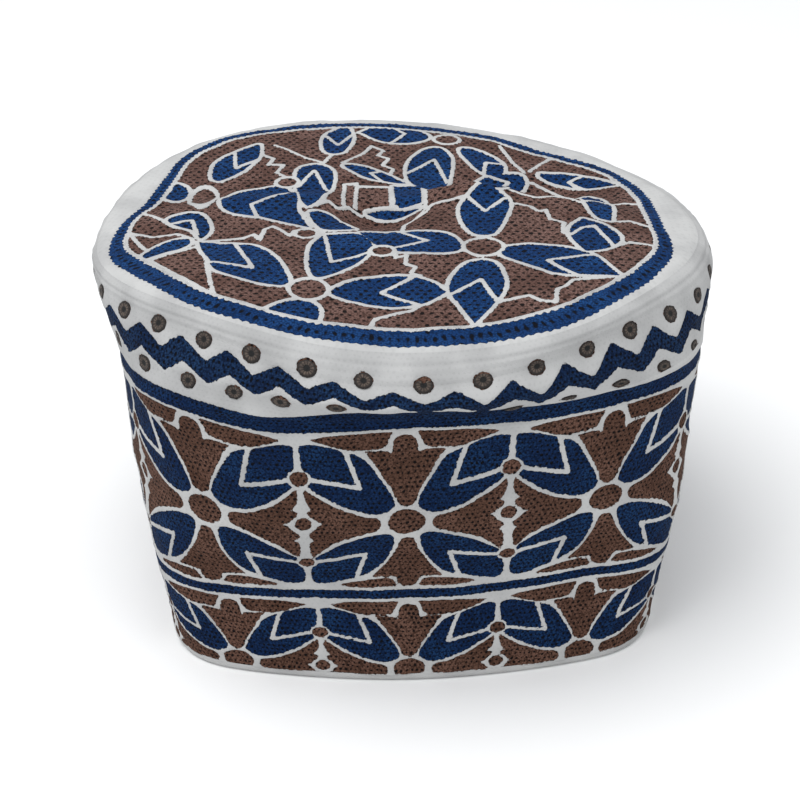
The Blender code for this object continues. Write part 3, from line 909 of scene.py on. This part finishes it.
# %% Stems of the crown
# Serrated stems and other bare lines, as runs of points.
STEM_WIDTH = 1.65
STEMS = (
    ((-11.0, -16.4), (-8.1, -25.6), (-6.5, -31.0), (-1.9, -30.0), (-1.9, -33.6), (1.3, -32.3),
     (0.8, -37.2), (3.8, -39.4), (2.2, -43.0), (5.0, -44.6)),
    ((5.0, -60.6), (2.8, -63.6), (-1.9, -65.2), (-7.5, -68.2), (-9.0, -73.0)),
    ((25.4, -61.0), (28.8, -60.1), (34.0, -58.2), (36.8, -61.0), (41.0, -62.5), (41.9, -55.0),
     (44.2, -53.8), (46.5, -50.5), (53.9, -49.6), (59.0, -48.6)),
    ((-72.0, -36.0), (-65.6, -32.2), (-58.0, -26.6)),
    ((-71.4, -34.0), (-65.0, -43.4), (-57.5, -52.4), (-50.8, -60.0)),
    ((-55.5, -31.5), (-54.2, -40.0), (-53.2, -47.0), (-50.8, -60.0)),
    ((-79.5, -11.0), (-76.0, -20.0), (-72.0, -28.0), (-70.0, -34.0)),
    ((-79.0, -12.6), (-71.4, -17.6), (-65.0, -16.4), (-60.0, -20.4)),
    ((-76.4, 2.0), (-70.0, -6.6), (-64.4, -12.6)),
    ((34.0, 1.6), (38.2, -0.4), (40.0, -3.6), (42.5, -2.4), (43.1, -9.1), (47.0, -11.6), (46.2, -18.6),
     (49.8, -21.5)),
    ((-56.6, -22.4), (-45.4, -19.6), (-42.5, -17.2), (-40.6, -21.0), (-39.6, -13.8), (-37.2, -11.4),
     (-34.8, -14.2), (-32.2, -17.6), (-31.1, -13.8), (-27.6, -12.4), (-22.5, -15.0)),
    ((-45.0, 49.0), (-40.0, 44.6), (-41.4, 39.6), (-36.6, 39.4), (-38.6, 34.0), (-35.6, 30.6)),
    ((-9.4, 60.0), (-5.6, 56.2), (-7.4, 51.2), (-3.8, 49.2), (-5.8, 43.6), (-2.4, 41.2), (-3.6, 36.2)),
    ((32.0, 63.0), (33.2, 58.0), (35.6, 48.0), (38.6, 42.0)),
    ((40.6, 43.0), (44.4, 49.0), (49.0, 55.4)),
    ((-40.0, 55.0), (-30.0, 46.4), (-24.2, 42.4), (-22.0, 50.0)),
    ((-18.4, 43.0), (-12.0, 52.0), (-9.4, 60.0)),
    ((-25.6, 5.2), (-21.9, 9.6), (-19.5, 7.2), (-15.9, 10.6), (-12.2, 9.2)),
    ((-17.6, 10.6), (-17.4, 26.4), (-13.6, 27.6), (-14.0, 11.4)),
    ((-13.8, 25.8), (-3.4, 26.6), (-3.0, 11.0)),
    ((7.2, 29.6), (7.2, 6.0), (0.9, -4.8), (0.2, -13.6)),
    ((2.4, -2.0), (4.4, 1.0), (7.2, 2.8), (9.1, 7.0), (14.1, 5.9), (18.4, 6.8)),
    ((52.4, 22.6), (47.0, 31.6), (41.0, 37.0)),
    ((52.4, 22.6), (38.0, 24.0), (31.4, 19.6)),
    ((53.4, 2.0), (46.0, 8.6), (40.0, 6.0), (33.0, 9.6)),
    ((61.0, -11.0), (66.0, -10.6), (70.6, -14.0)),
    ((60.0, -29.0), (65.0, -25.6), (70.4, -27.4)),
    ((61.6, 8.0), (67.0, 11.0), (71.6, 9.0)),
)
print("stems", len(STEMS))

# %% Ring of the crown
# Columns: angle in degrees, the white margin outside the ring, and the ring's width.
MARGIN, RING_WIDTH = 1, 2
RING = ((-180, 9.8, 3.0), (-174, 8.2, 2.6), (-168, 6.6, 2.6), (-156, 3.7, 3.6), (-150, 2.9, 5.6),
        (-144, 4.2, 6.2), (-138, 4.2, 6.1), (-132, 2.9, 6.1), (-126, 1.8, 6.1), (-120, 1.5, 5.8),
        (-108, 2.2, 6.2), (-96, 2.8, 6.8), (-84, 2.5, 6.9), (-72, 1.6, 7.6), (-60, 1.9, 7.3),
        (-54, 2.2, 6.4), (-48, 2.6, 5.7), (-42, 2.7, 5.6), (-36, 3.5, 5.3), (-30, 4.7, 4.3),
        (-24, 7.9, 3.8), (-18, 10.8, 3.1), (-12, 10.6, 3.2), (0, 7.8, 2.7), (12, 4.9, 2.6),
        (25, 3.6, 2.8), (46, 8.4, 3.2), (62, 6.9, 3.4), (90, 7.0, 3.8), (120, 5.0, 3.0), (140, 2.6, 2.5),
        (154, 3.7, 2.6), (170, 8.6, 2.8), (180, 9.8, 3.0))
SCALLOP = 0.3
WHITE_LINE = 1.8
ring_widths = [row[RING_WIDTH] for row in RING]
print("ring from", min(ring_widths), "to", max(ring_widths), "mm wide")


# %% Distances on the crown
def crown_petals(where):
    """Signed distances to the nearest petal, and to the chevrons that are cut out of them."""
    petals, cut = np.full(len(where), FAR), np.full(len(where), FAR)
    for outline, chevron in CROWN_PETALS.values():
        petal = field_distance(where, rounded(outline))
        petals = np.minimum(petals, petal)
        if chevron:
            arms = stroke_distance(where, chevron, CHEVRON_WIDTH / 2)
            cut = np.where(petal < 1, np.minimum(cut, arms), cut)
    return petals, cut


def crown_chart(points, edge, along):
    """Distances to the blue and brown fields of the crown, the way to the ring, and the ring share.

    edge is the way in from the seam, and along the way round in needle holes. White lies within
    the petal edge's width of a petal or a hub, on the stems and on the chevrons. What is left
    inside the ring is brown. The ring swells a little beside each needle hole. The ring share is
    0 at the ring's outer edge and 1 at its inner edge.
    """
    where = points[..., :2].reshape(-1, 2)
    angle = np.degrees(np.arctan2(where[:, 1] - CROWN_MIDDLE - TO_FRAME[1], where[:, 0] - TO_FRAME[0]))
    inward = edge.ravel() - eased(angle, RING, MARGIN, 3.0)
    ring_width = eased(angle, RING, RING_WIDTH, 3.0)
    petals, cut = crown_petals(where)
    hubs = round_distance(where, HUBS)
    stems = np.full(len(where), FAR)
    for line in STEMS:
        stems = np.minimum(stems, stroke_distance(where, line, STEM_WIDTH / 2))
    inner = ring_width + WHITE_LINE - inward
    blue = np.maximum.reduce([petals, -cut, inner, PETAL_EDGE - hubs])
    swell = SCALLOP * np.cos(tau * along.ravel())
    blue = np.minimum(blue, between(inward, 0, ring_width) + swell)
    brown = np.maximum.reduce([PETAL_EDGE - np.minimum(petals, hubs), -stems, inner])
    brown = np.minimum(brown, np.maximum(hubs, inner))
    return [values.reshape(edge.shape) for values in (blue, brown, inner, inward / ring_width)]


# %% [markdown]
# ### The disc
# The disc is a grid of rings that shrink towards the middle, so that the seam, the margin and
# the ring of blue follow its edge. Its needle holes follow the ring round, and run straight
# across inside it, as the maker would work them.

# %% Grid of the disc
CROWN_COLUMNS = 720
CROWN_ROWS = 130
MIDDLE_SHARE = 0.012


def closed_faces(rows, columns):
    """Quads of a grid of rings, and triangles from its last ring to one middle point."""
    last = (rows - 1) * columns + np.arange(columns)
    middle = np.full(columns, rows * columns)
    return grid_faces(rows, columns), np.stack([last, np.roll(last, -1), middle], axis=-1)


def with_middle(grid):
    """Points of a grid of rings, with the mean of the last ring as its middle point."""
    return np.concatenate([grid.reshape(-1, 3), grid[-1].mean(axis=0)[None]])


crown_rounds = np.arange(CROWN_COLUMNS) / CROWN_COLUMNS
crown_shares = np.linspace(1.0, MIDDLE_SHARE, CROWN_ROWS)
crown_grid = np.stack([crown_ring(share, crown_rounds) for share in crown_shares])
crown_radius = np.hypot(crown_grid[0, :, 0] - TO_FRAME[0], crown_grid[0, :, 1] - CROWN_MIDDLE - TO_FRAME[1])
edge_way = (1 - crown_shares)[:, None] * crown_radius[None, :]
print("crown's radius from", crown_radius.min().round(1), "to", crown_radius.max().round(1), "mm")

# %% Height of the disc
ring_holes = round(tau * crown_radius.mean() / (CROWN_HOLES[0] * 10))
hole_count = np.broadcast_to(crown_rounds * ring_holes, edge_way.shape)
crown_blue, crown_brown, ring_inner, ring_share = crown_chart(crown_grid, edge_way, hole_count)
crown_height = relief(crown_blue, crown_brown) + unevenness(crown_grid, CLOTH_WAVES)
crown_height = crown_height * smooth_step(0, SEAM_FADE, edge_way)
crown_points = with_middle(crown_grid + crown_height[..., None] * normals(crown_grid))
print("needle holes round the ring:", ring_holes)

# %% Places on the disc, and the piece
crown_quads, crown_fan = closed_faces(CROWN_ROWS, CROWN_COLUMNS)
corners = np.concatenate([crown_quads.ravel(), crown_fan.ravel()])
# One row of holes follows the middle of the ring, and rows run straight across the rest.
RING_ROWS = 1.5
ring_length = ring_holes * CROWN_HOLES[0] * 10
ring_along, _ = corner_places(crown_quads, CROWN_COLUMNS, crown_rounds, crown_shares, ring_length)
ring_along = np.concatenate([ring_along, np.zeros(crown_fan.size)])
ring_place = 10 * CROWN_HOLES[1] * (0.5 + RING_ROWS * (ring_share - 0.5))
ring_up = np.append(ring_place.ravel(), 0)[corners]
on_ring = np.append(ring_inner.ravel(), 0)[corners] > WHITE_LINE / 2
crown_along = np.where(on_ring, ring_along, crown_points[corners, 0])
crown_up = np.where(on_ring, ring_up, crown_points[corners, 1])
crown = make_mesh("crown_disc", crown_points, [crown_quads, crown_fan], crown_along, crown_up,
                  {"blue": np.append(crown_blue, FAR), "brown": np.append(crown_brown, FAR)})
rides_on_cap(crown, "crown_embroidery", "crown")

# %% [markdown]
# ## Hem
# At the rim the cloth is turned in and stitched down, which gives a soft rounded edge for the
# cap to stand on. A profile of half a roll, carried round the rim, makes it.

# %% Hem
HEM_COLUMNS = 440
HEM_ROUND = 1.5
HEM_PROUD = 0.15
HEM_INSIDE = 9.0


def hem_grid(rounds):
    """Half a roll round the rim: down over the wall's edge, under, and up inside.

    Its middle rings lie at the roll's radius times (cos, -sin) of a half turn, out and up.
    """
    outer = np.linspace(HEM_WAY, HEM_ROUND, 4)[:-1]
    inner = np.linspace(HEM_ROUND, HEM_INSIDE, 8)[1:]
    base = wall_ring(HEM_ROUND, rounds)
    out = normals(wall([HEM_ROUND - 1, HEM_ROUND, HEM_ROUND + 1], rounds))[1]
    out[:, 2] = 0
    out = out / np.linalg.norm(out, axis=-1, keepdims=True)
    rings = [wall_ring(way, rounds) + HEM_PROUD * out for way in outer]
    for turn in np.linspace(0, pi, 14):
        ring = base + (HEM_ROUND * cos(turn) - HEM_ROUND + HEM_PROUD) * out
        ring[:, 2] = HEM_ROUND - HEM_ROUND * sin(turn)
        rings.append(ring)
    rings += [wall_ring(way, rounds) - (2 * HEM_ROUND - HEM_PROUD) * out for way in inner]
    return np.stack(rings)[::-1]


hem_rounds = np.arange(HEM_COLUMNS) / HEM_COLUMNS
hem_points = hem_grid(hem_rounds)
hem_faces = grid_faces(len(hem_points), HEM_COLUMNS)
hem_rows = np.arange(len(hem_points)) * 1.0
hem_along, hem_up = corner_places(hem_faces, HEM_COLUMNS, hem_rounds, hem_rows, LENGTH_ROUND)
bare = np.full(hem_points.shape[:2], FAR)
hem = make_mesh("turned_hem", hem_points.reshape(-1, 3), [hem_faces], hem_along, hem_up,
                {"blue": bare, "brown": bare})
rides_on_cap(hem, "hem_cloth", "rim_hem")

# %% [markdown]
# ## Inside of the cap
# Inside, the cloth shows its plain back. It is the same wall and crown, set in by the cloth's
# thickness and turned to face the hollow.

# %% Inner cloth
INNER_GAP = 2.0
INNER_COLUMNS = 240
inner_rounds = np.arange(INNER_COLUMNS) / INNER_COLUMNS
inner_wall = wall(np.linspace(2 * HEM_ROUND, CROWN_SEAM - HEM_ROUND, 50), inner_rounds)
inner_crown = np.stack([crown_ring(share, inner_rounds) for share in np.linspace(0.985, 0.015, 40)])
inner_grid = np.concatenate([inner_wall, inner_crown])
inner_grid = inner_grid - INNER_GAP * normals(inner_grid)
inner_quads, inner_fan = closed_faces(len(inner_grid), INNER_COLUMNS)
inner_cloth = make_mesh("inner_cloth", with_middle(inner_grid), [inner_quads[:, ::-1], inner_fan[:, ::-1]])
rides_on_cap(inner_cloth, "white_cloth")

# %% [markdown]
# ## Eyelets
# Each eyelet is a hole that was pushed through both layers and overcast with brown thread, so it
# is a small ring of thread round a hole. Here the ring's middle is closed by the mesh and painted
# black as the hole's shade. A ring is a grid of its own, laid on the cloth at its place, and all
# of them make one mesh.

# %% Rings of an eyelet
# Reach as a share of the radius, and rise above the cloth in mm.
EYELET_RINGS = ((1.0, 0.0), (0.96, 0.24), (0.84, 0.36), (0.66, 0.38), (0.5, 0.36), (0.36, 0.3),
                (0.26, 0.24), (0.12, 0.22))
EYELET_SIDES = 36
# The wall is read this far round and this far up from an eyelet's centre to find its bend.
BEND_ROUND = 0.007
BEND_UP = 4.0


def eyelet_rings():
    """Every eyelet: rings of points round its centre, laid on the cloth as it rises and falls.

    A point lies at its reach times the radius from the centre, along the cloth, and as far out
    from it as its ring's rise and the cloth's own unevenness say.
    """
    around = np.arange(EYELET_SIDES) / EYELET_SIDES * tau
    reach, rise = np.array(EYELET_RINGS).T
    grids = []
    for round_place, way, radius, half_height in EYELETS:
        along = reach[:, None] * radius * np.cos(around)[None, :]
        up = reach[:, None] * half_height * np.sin(around)[None, :]
        near = wall([way - BEND_UP, way, way + BEND_UP],
                    [round_place - BEND_ROUND, round_place, round_place + BEND_ROUND])
        # A second-order patch through five points of the wall carries the eyelet round its bend.
        middle = near[1, 1]
        side, bend = (near[1, 2] - near[1, 0]) / 2, (near[1, 2] + near[1, 0]) / 2 - middle
        rising, roll = (near[2, 1] - near[0, 1]) / 2, (near[2, 1] + near[0, 1]) / 2 - middle
        run = np.linalg.norm(side)
        across, climb = along[..., None] / run, up[..., None] / BEND_UP
        flat = middle + side * across + bend * across ** 2 + rising * climb + roll * climb ** 2
        out = np.cross(side + 2 * bend * across, rising + 2 * roll * climb)
        out = out / np.linalg.norm(out, axis=-1, keepdims=True)
        height = rise[:, None] + unevenness(flat, CLOTH_WAVES)
        grids.append(flat + height[..., None] * out)
    return np.stack(grids)


eyelet_grid = eyelet_rings()
print("eyelet grids:", eyelet_grid.shape)

# %% Eyelets as one piece
eyelet_points = np.concatenate([with_middle(grid) for grid in eyelet_grid])
one_size = len(EYELET_RINGS) * EYELET_SIDES + 1
shift = np.arange(len(eyelet_grid))[:, None, None] * one_size
eyelet_quads, eyelet_fan = closed_faces(len(EYELET_RINGS), EYELET_SIDES)
reach_marks = np.append(np.repeat([reach for reach, _ in EYELET_RINGS], EYELET_SIDES), 0.0)
thread_marks = np.append(np.tile(np.arange(EYELET_SIDES) % 3 == 0, len(EYELET_RINGS)), 0.0)
eyelets = make_mesh("eyelets", eyelet_points,
                    [(eyelet_quads + shift).reshape(-1, 4), (eyelet_fan + shift).reshape(-1, 3)],
                    marks={"reach": np.tile(reach_marks, len(eyelet_grid)),
                           "thread": np.tile(thread_marks, len(eyelet_grid))})
rides_on_cap(eyelets, "white_cloth")

# %% [markdown]
# ## Finishes
# One cloth finish serves every worked piece, because it is one cloth. It reads the two distances
# and lays blue or brown thread where they are below zero. Needle holes stand in staggered
# rows, and the threads between them give a fine grain.

# %% Node helpers
class Finish:
    """A material under construction: short calls that add a node and link its inputs."""

    def __init__(self, name):
        self.material = bpy.data.materials.new(name)
        self.material.use_nodes = True
        self.tree = self.material.node_tree
        self.shader = self.tree.nodes["Principled BSDF"]

    def put(self, socket, value):
        """Links a socket, or sets its value."""
        if isinstance(value, bpy.types.NodeSocket):
            self.tree.links.new(value, socket)
        else:
            socket.default_value = value

    def place(self):
        """Place on the piece, in metres, which stays with it when it moves."""
        return self.tree.nodes.new("ShaderNodeTexCoord").outputs["Object"]

    def math(self, kind, first, second=0.0, third=0.0):
        """One Math node."""
        node = self.tree.nodes.new("ShaderNodeMath")
        node.operation = kind
        for socket, value in zip(node.inputs, (first, second, third)):
            self.put(socket, value)
        return node.outputs[0]

    def mark(self, name):
        """A number stored on the mesh."""
        node = self.tree.nodes.new("ShaderNodeAttribute")
        node.attribute_name = name
        return node.outputs["Fac"]

    def noise(self, place, scale, detail=2.0, rough=0.5):
        """Noise from 0 to 1 about 0.5."""
        node = self.tree.nodes.new("ShaderNodeTexNoise")
        self.put(node.inputs["Vector"], place)
        node.inputs["Scale"].default_value = scale
        node.inputs["Detail"].default_value = detail
        node.inputs["Roughness"].default_value = rough
        return node.outputs["Fac"]

    def cells(self, place, scale, spread=1.0):
        """Distance to the nearest of scattered points."""
        node = self.tree.nodes.new("ShaderNodeTexVoronoi")
        self.put(node.inputs["Vector"], place)
        node.inputs["Scale"].default_value = scale
        node.inputs["Randomness"].default_value = spread
        return node.outputs["Distance"]

    def step(self, value, low, high):
        """0 below low and 1 above high, or the other way round when low is the higher."""
        node = self.tree.nodes.new("ShaderNodeMapRange")
        node.interpolation_type = "SMOOTHSTEP"
        flip = low > high
        self.put(node.inputs["Value"], value)
        node.inputs["From Min"].default_value = min(low, high)
        node.inputs["From Max"].default_value = max(low, high)
        node.inputs["To Min"].default_value = 1.0 if flip else 0.0
        node.inputs["To Max"].default_value = 0.0 if flip else 1.0
        return node.outputs["Result"]

    def mix(self, share, first, second):
        """One colour over another."""
        node = self.tree.nodes.new("ShaderNodeMix")
        node.data_type = "RGBA"
        self.put(node.inputs["Factor"], share)
        for name, value in (("A", first), ("B", second)):
            socket = next(s for s in node.inputs if s.name == name and s.type == "RGBA")
            self.put(socket, value if isinstance(value, bpy.types.NodeSocket) else (*value, 1.0))
        return next(s for s in node.outputs if s.type == "RGBA")

    def bump(self, height, distance, strength):
        """Bump from a height of 0 to 1, which stands for a distance in metres."""
        node = self.tree.nodes.new("ShaderNodeBump")
        node.inputs["Strength"].default_value = strength
        node.inputs["Distance"].default_value = distance
        self.put(node.inputs["Height"], height)
        return node.outputs["Normal"]


# %% [markdown]
# ### Worked cloth
# Three things make the stitched cloth. Thread lies where a stored distance is below zero, with
# an edge that the stitches leave a little ragged. Needle holes stand in rows, each row half a
# space on from the last. And the thread has a grain, with dark gaps between its strands.

# %% Thread fields
RAGGED_EDGE = 1.0
EDGE_BLUR = 0.08


def thread_fields(finish, place):
    """Shares of blue and brown thread: 1 where distance plus uneven edge is below the spread."""
    edge = finish.math("MULTIPLY_ADD", finish.noise(place, 900.0, 2.0), RAGGED_EDGE,
                       -RAGGED_EDGE / 2 - SPREAD)
    ways = [finish.math("ADD", finish.mark(name), edge) for name in ("blue", "brown")]
    return [finish.step(way, EDGE_BLUR, -EDGE_BLUR) for way in ways]


def thread_colour(finish, tone, grain, tone_range, grain_range, colours):
    """Thread of one colour: two shades by the slow tone, and its dark gaps by the grain."""
    shades = finish.mix(finish.step(tone, *tone_range), colours[0], colours[1])
    return finish.mix(finish.step(grain, *grain_range), shades, colours[2])


# %% Needle holes
# How far the rows wander, in cm.
HOLE_DRIFT = 0.16


def needle_holes(finish, place, holes, radius):
    """Share of needle hole, on the UV map in centimetres.

    Each row is split into even places, half a place on in every second row. The distance to the
    middle of a place is the square root of along squared plus up squared, and a hole is where
    that is less than its uneven radius.
    """
    spacing, row_height = holes
    uv = finish.tree.nodes.new("ShaderNodeUVMap")
    uv.uv_map = "cloth"
    split = finish.tree.nodes.new("ShaderNodeSeparateXYZ")
    finish.put(split.inputs[0], uv.outputs[0])
    drift = finish.math("MULTIPLY_ADD", finish.noise(place, 260.0, 1.0), HOLE_DRIFT, -HOLE_DRIFT / 2)
    along, up = [finish.math("ADD", way, drift) for way in (split.outputs[0], split.outputs[1])]
    row = finish.math("DIVIDE", up, row_height)
    odd = finish.math("MULTIPLY", finish.math("FLOORED_MODULO", finish.math("FLOOR", row), 2.0), 0.5)
    column = finish.math("ADD", finish.math("DIVIDE", along, spacing), odd)
    squares = []
    for count, size in ((column, spacing), (row, row_height)):
        off = finish.math("MULTIPLY", finish.math("SUBTRACT", finish.math("FRACT", count), 0.5), size)
        squares.append(finish.math("POWER", off, 2.0))
    from_hole = finish.math("SQRT", finish.math("ADD", *squares))
    uneven = finish.math("MULTIPLY_ADD", finish.noise(place, 420.0, 0.0), 2.4 * radius, -0.2 * radius)
    return finish.step(finish.math("SUBTRACT", from_hole, uneven), 0.7 * radius, -0.4 * radius)


# %% Worked cloth
WHITE = (0.50, 0.50, 0.495)
WHITE_SHADE = (0.40, 0.40, 0.40)
# Colour of the needle holes: painted shade, since the holes are only a bump in the cloth.
NEEDLE_HOLE_SHADE = (0.003, 0.003, 0.004)


def cloth_body(finish, place, thread, grain, hole):
    """Height of the cloth's skin: the weave, less the pull of the thread, its gaps and the holes."""
    weave = finish.noise(place, 2600.0, 3.0, 0.6)
    body = finish.math("MULTIPLY_ADD", weave, 0.25, finish.math("MULTIPLY", thread, -0.5))
    body = finish.math("ADD", body, finish.math("MULTIPLY", finish.math("MULTIPLY", grain, -0.5), thread))
    return finish.math("SUBTRACT", body, finish.math("MULTIPLY", hole, 1.2))


def worked_cloth(name, blues, browns, holes, hole_radius, white=WHITE, shade=WHITE_SHADE):
    """White cloth with brown and then blue thread laid over it, and needle holes through both."""
    finish = Finish(name)
    place = finish.place()
    blue, brown = thread_fields(finish, place)
    thread = finish.math("MAXIMUM", blue, brown)
    # A needle hole is painted near black as its shade: dark in thread, and so faint in bare cloth that it
    # hardly shows.
    hole = finish.math("MULTIPLY", needle_holes(finish, place, holes, hole_radius),
                       finish.math("MULTIPLY_ADD", thread, 0.9, 0.06))
    grain = finish.cells(place, 1500.0, 0.9)
    tone = finish.noise(place, 90.0, 3.0)
    colour = finish.mix(finish.step(finish.noise(place, 60.0, 4.0), 0.35, 0.7), white, shade)
    colour = finish.mix(brown, colour, thread_colour(finish, tone, grain, (0.32, 0.68), (0.3, 0.8), browns))
    colour = finish.mix(blue, colour, thread_colour(finish, tone, grain, (0.35, 0.68), (0.25, 0.75), blues))
    # The needle holes are painted dark here: painted shade.
    finish.put(finish.shader.inputs["Base Color"], finish.mix(hole, colour, NEEDLE_HOLE_SHADE))
    body = cloth_body(finish, place, thread, grain, hole)
    finish.put(finish.shader.inputs["Normal"], finish.bump(body, 0.0005, 0.9))
    finish.shader.inputs["Roughness"].default_value = 0.86
    finish.shader.inputs["Specular IOR Level"].default_value = 0.08
    print(name, "nodes:", len(finish.tree.nodes))
    return finish.material


# %% Stitching of each piece
# Each thread colour is its darker shade, its lighter shade and its gaps.
SIDE_BLUES = ((0.005, 0.020, 0.070), (0.009, 0.036, 0.105), (0.002, 0.009, 0.032))
# The upper band's blue is the wall's blue thread made darker: painted shade.
SHADED_BAND_BLUES = ((0.006, 0.018, 0.056), (0.011, 0.033, 0.086), (0.0025, 0.008, 0.026))
CROWN_BLUES = ((0.006, 0.034, 0.125), (0.011, 0.056, 0.180), (0.003, 0.017, 0.060))
SIDE_BROWNS = ((0.092, 0.046, 0.031), (0.145, 0.077, 0.056), (0.044, 0.022, 0.015))
CROWN_BROWNS = ((0.112, 0.060, 0.049), (0.180, 0.106, 0.090), (0.056, 0.030, 0.024))
# The upper band's white and its tone are the wall's white cloth made darker: painted shade.
SHADED_BAND_WHITE = (0.45, 0.45, 0.448)
SHADED_BAND_TONE = (0.36, 0.36, 0.36)
SIDE_HOLE_RADIUS = 0.024
CROWN_HOLE_RADIUS = 0.040
side_finish = worked_cloth("side_stitching", SIDE_BLUES, SIDE_BROWNS, SIDE_HOLES, SIDE_HOLE_RADIUS)
# The upper band's stitching uses the darker colours above: painted shade on the same cloth.
shaded_band_finish = worked_cloth("shaded_band_stitching", SHADED_BAND_BLUES, SIDE_BROWNS, SIDE_HOLES, SIDE_HOLE_RADIUS,
                           SHADED_BAND_WHITE, SHADED_BAND_TONE)
crown_finish = worked_cloth("crown_stitching", CROWN_BLUES, CROWN_BROWNS, CROWN_HOLES, CROWN_HOLE_RADIUS)
for piece in (low_band, flower_band, hem):
    piece.data.materials.append(side_finish)
upper_band.data.materials.append(shaded_band_finish)
crown.data.materials.append(crown_finish)

# %% [markdown]
# ### Plain cloth and eyelet thread
# The inside is bare cotton. The eyelets' thread is wound round and round, so it is striped by
# its turns, which the mesh marks, and it darkens towards its outer edge. Its closed middle is
# painted black as the shade of the hole.

# %% Plain cloth
def plain_cloth(name):
    """Plain inner cotton: a fine weave and a slow change of tone."""
    finish = Finish(name)
    place = finish.place()
    tone = finish.step(finish.noise(place, 50.0, 4.0), 0.35, 0.7)
    finish.put(finish.shader.inputs["Base Color"], finish.mix(tone, WHITE, WHITE_SHADE))
    finish.put(finish.shader.inputs["Normal"], finish.bump(finish.noise(place, 1800.0, 3.0), 0.0004, 0.6))
    finish.shader.inputs["Roughness"].default_value = 0.9
    print(name, "nodes:", len(finish.tree.nodes))
    return finish.material


inner_cloth.data.materials.append(plain_cloth("inner_cotton"))

# %% Eyelet thread
THREAD_LIGHT = (0.105, 0.078, 0.060)
THREAD_DARK = (0.045, 0.031, 0.025)
THREAD_GAP = (0.014, 0.010, 0.008)
# Black of the eyelet's closed middle: painted shade for the hole.
EYELET_HOLE_SHADE = (0.002, 0.002, 0.002)


def eyelet_thread(name):
    """Brown thread wound round the hole, darker at its edges, and its closed middle painted black as the
    hole's shade.
    """
    finish = Finish(name)
    reach, wound = finish.mark("reach"), finish.mark("thread")
    tone = finish.noise(finish.place(), 900.0, 2.0)
    colour = finish.mix(finish.step(tone, 0.35, 0.65), THREAD_LIGHT, THREAD_DARK)
    colour = finish.mix(finish.math("MULTIPLY", wound, 0.85), colour, THREAD_GAP)
    colour = finish.mix(finish.step(reach, 0.66, 0.80), colour, THREAD_GAP)
    # The middle of the eyelet is painted black: painted shade for its hole.
    colour = finish.mix(finish.step(reach, 0.44, 0.28), colour, EYELET_HOLE_SHADE)
    finish.put(finish.shader.inputs["Base Color"], colour)
    finish.put(finish.shader.inputs["Normal"], finish.bump(finish.math("ADD", wound, tone), 0.0002, 0.8))
    finish.shader.inputs["Roughness"].default_value = 0.8
    print(name, "nodes:", len(finish.tree.nodes))
    return finish.material


eyelets.data.materials.append(eyelet_thread("eyelet_thread"))

# %% [markdown]
# ## Floor, light and camera
# The photograph was taken in soft light on a white ground, from a little above. The camera has
# the photograph's place and angle. Its small turn and shift come from fitting the cap's rim,
# bands and seam to the photograph.

# %% Floor
FLOOR_REACH = 3.0
FLOOR_WHITE = (0.92, 0.92, 0.92, 1.0)
floor_corners = [(x * FLOOR_REACH, y * FLOOR_REACH, 0.0) for x, y in ((-1, -1), (1, -1), (1, 1), (-1, 1))]
floor_mesh = bpy.data.meshes.new("floor")
floor_mesh.from_pydata(floor_corners, [], [(0, 1, 2, 3)])
floor = bpy.data.objects.new("floor", floor_mesh)
bpy.context.scene.collection.objects.link(floor)
floor_finish = Finish("floor_paper")
floor_finish.shader.inputs["Base Color"].default_value = FLOOR_WHITE
floor_finish.shader.inputs["Roughness"].default_value = 0.9
floor_mesh.materials.append(floor_finish.material)

# %% Light
ROOM_COLOUR = (0.96, 0.98, 1.0, 1.0)
ROOM_STRENGTH = 0.80
CAP_HALF_HEIGHT = 0.06
scene = bpy.context.scene
world = bpy.data.worlds.new("soft_room")
scene.world = world
world.use_nodes = True
world.node_tree.nodes["Background"].inputs["Color"].default_value = ROOM_COLOUR
world.node_tree.nodes["Background"].inputs["Strength"].default_value = ROOM_STRENGTH


def soft_light(name, place, size, power):
    """A square soft box that faces the middle of the cap."""
    light = bpy.data.lights.new(name, "AREA")
    light.size = size
    light.energy = power
    holder = bpy.data.objects.new(name, light)
    holder.location = place
    aim = -np.array(place) + np.array([0, 0, CAP_HALF_HEIGHT])
    flat = np.hypot(aim[0], aim[1])
    holder.rotation_euler = (pi / 2 - np.arctan2(-aim[2], flat), 0, np.arctan2(-aim[0], aim[1]))
    bpy.context.scene.collection.objects.link(holder)
    print(name, "at", place, "size in m:", size, "power in W:", power)


soft_light("window", place=(-0.35, -0.2, 1.2), size=0.9, power=10.0)
soft_light("fill", place=(0.9, -0.9, 0.7), size=1.0, power=1.0)
scene.view_settings.view_transform = "Standard"

# %% Camera
# The frame is 800 pixels wide. The focal length and the point that the lens faces are in pixels
# of that frame, and the place and the direction are in metres.
FRAME_PIXELS = 800.0
FOCAL_PIXELS = 1998.0
PRINCIPAL = (408.0, 420.0)
SENSOR_WIDTH = 36.0
CAMERA_PLACE = (0.0008, -0.5475, 0.3413)
CAMERA_AIM = (0.0, 0.8788, -0.4772)
CAMERA_ROLL = -1.0
camera_data = bpy.data.cameras.new("photo_camera")
camera = bpy.data.objects.new("photo_camera", camera_data)
camera_data.sensor_width = SENSOR_WIDTH
camera_data.lens = FOCAL_PIXELS / FRAME_PIXELS * SENSOR_WIDTH
camera_data.shift_x = -(PRINCIPAL[0] - FRAME_PIXELS / 2) / FRAME_PIXELS
camera_data.shift_y = (PRINCIPAL[1] - FRAME_PIXELS / 2) / FRAME_PIXELS
camera_data.clip_start = 0.01
camera.location = CAMERA_PLACE
camera.rotation_mode = "QUATERNION"
towards_cap = Vector(CAMERA_AIM).to_track_quat("-Z", "Y")
camera.rotation_quaternion = towards_cap @ Quaternion((0, 0, 1), radians(CAMERA_ROLL))
bpy.context.scene.collection.objects.link(camera)
scene.camera = camera
print("camera looks down by", round(float(np.degrees(np.arcsin(-CAMERA_AIM[2]))), 1), "degrees")
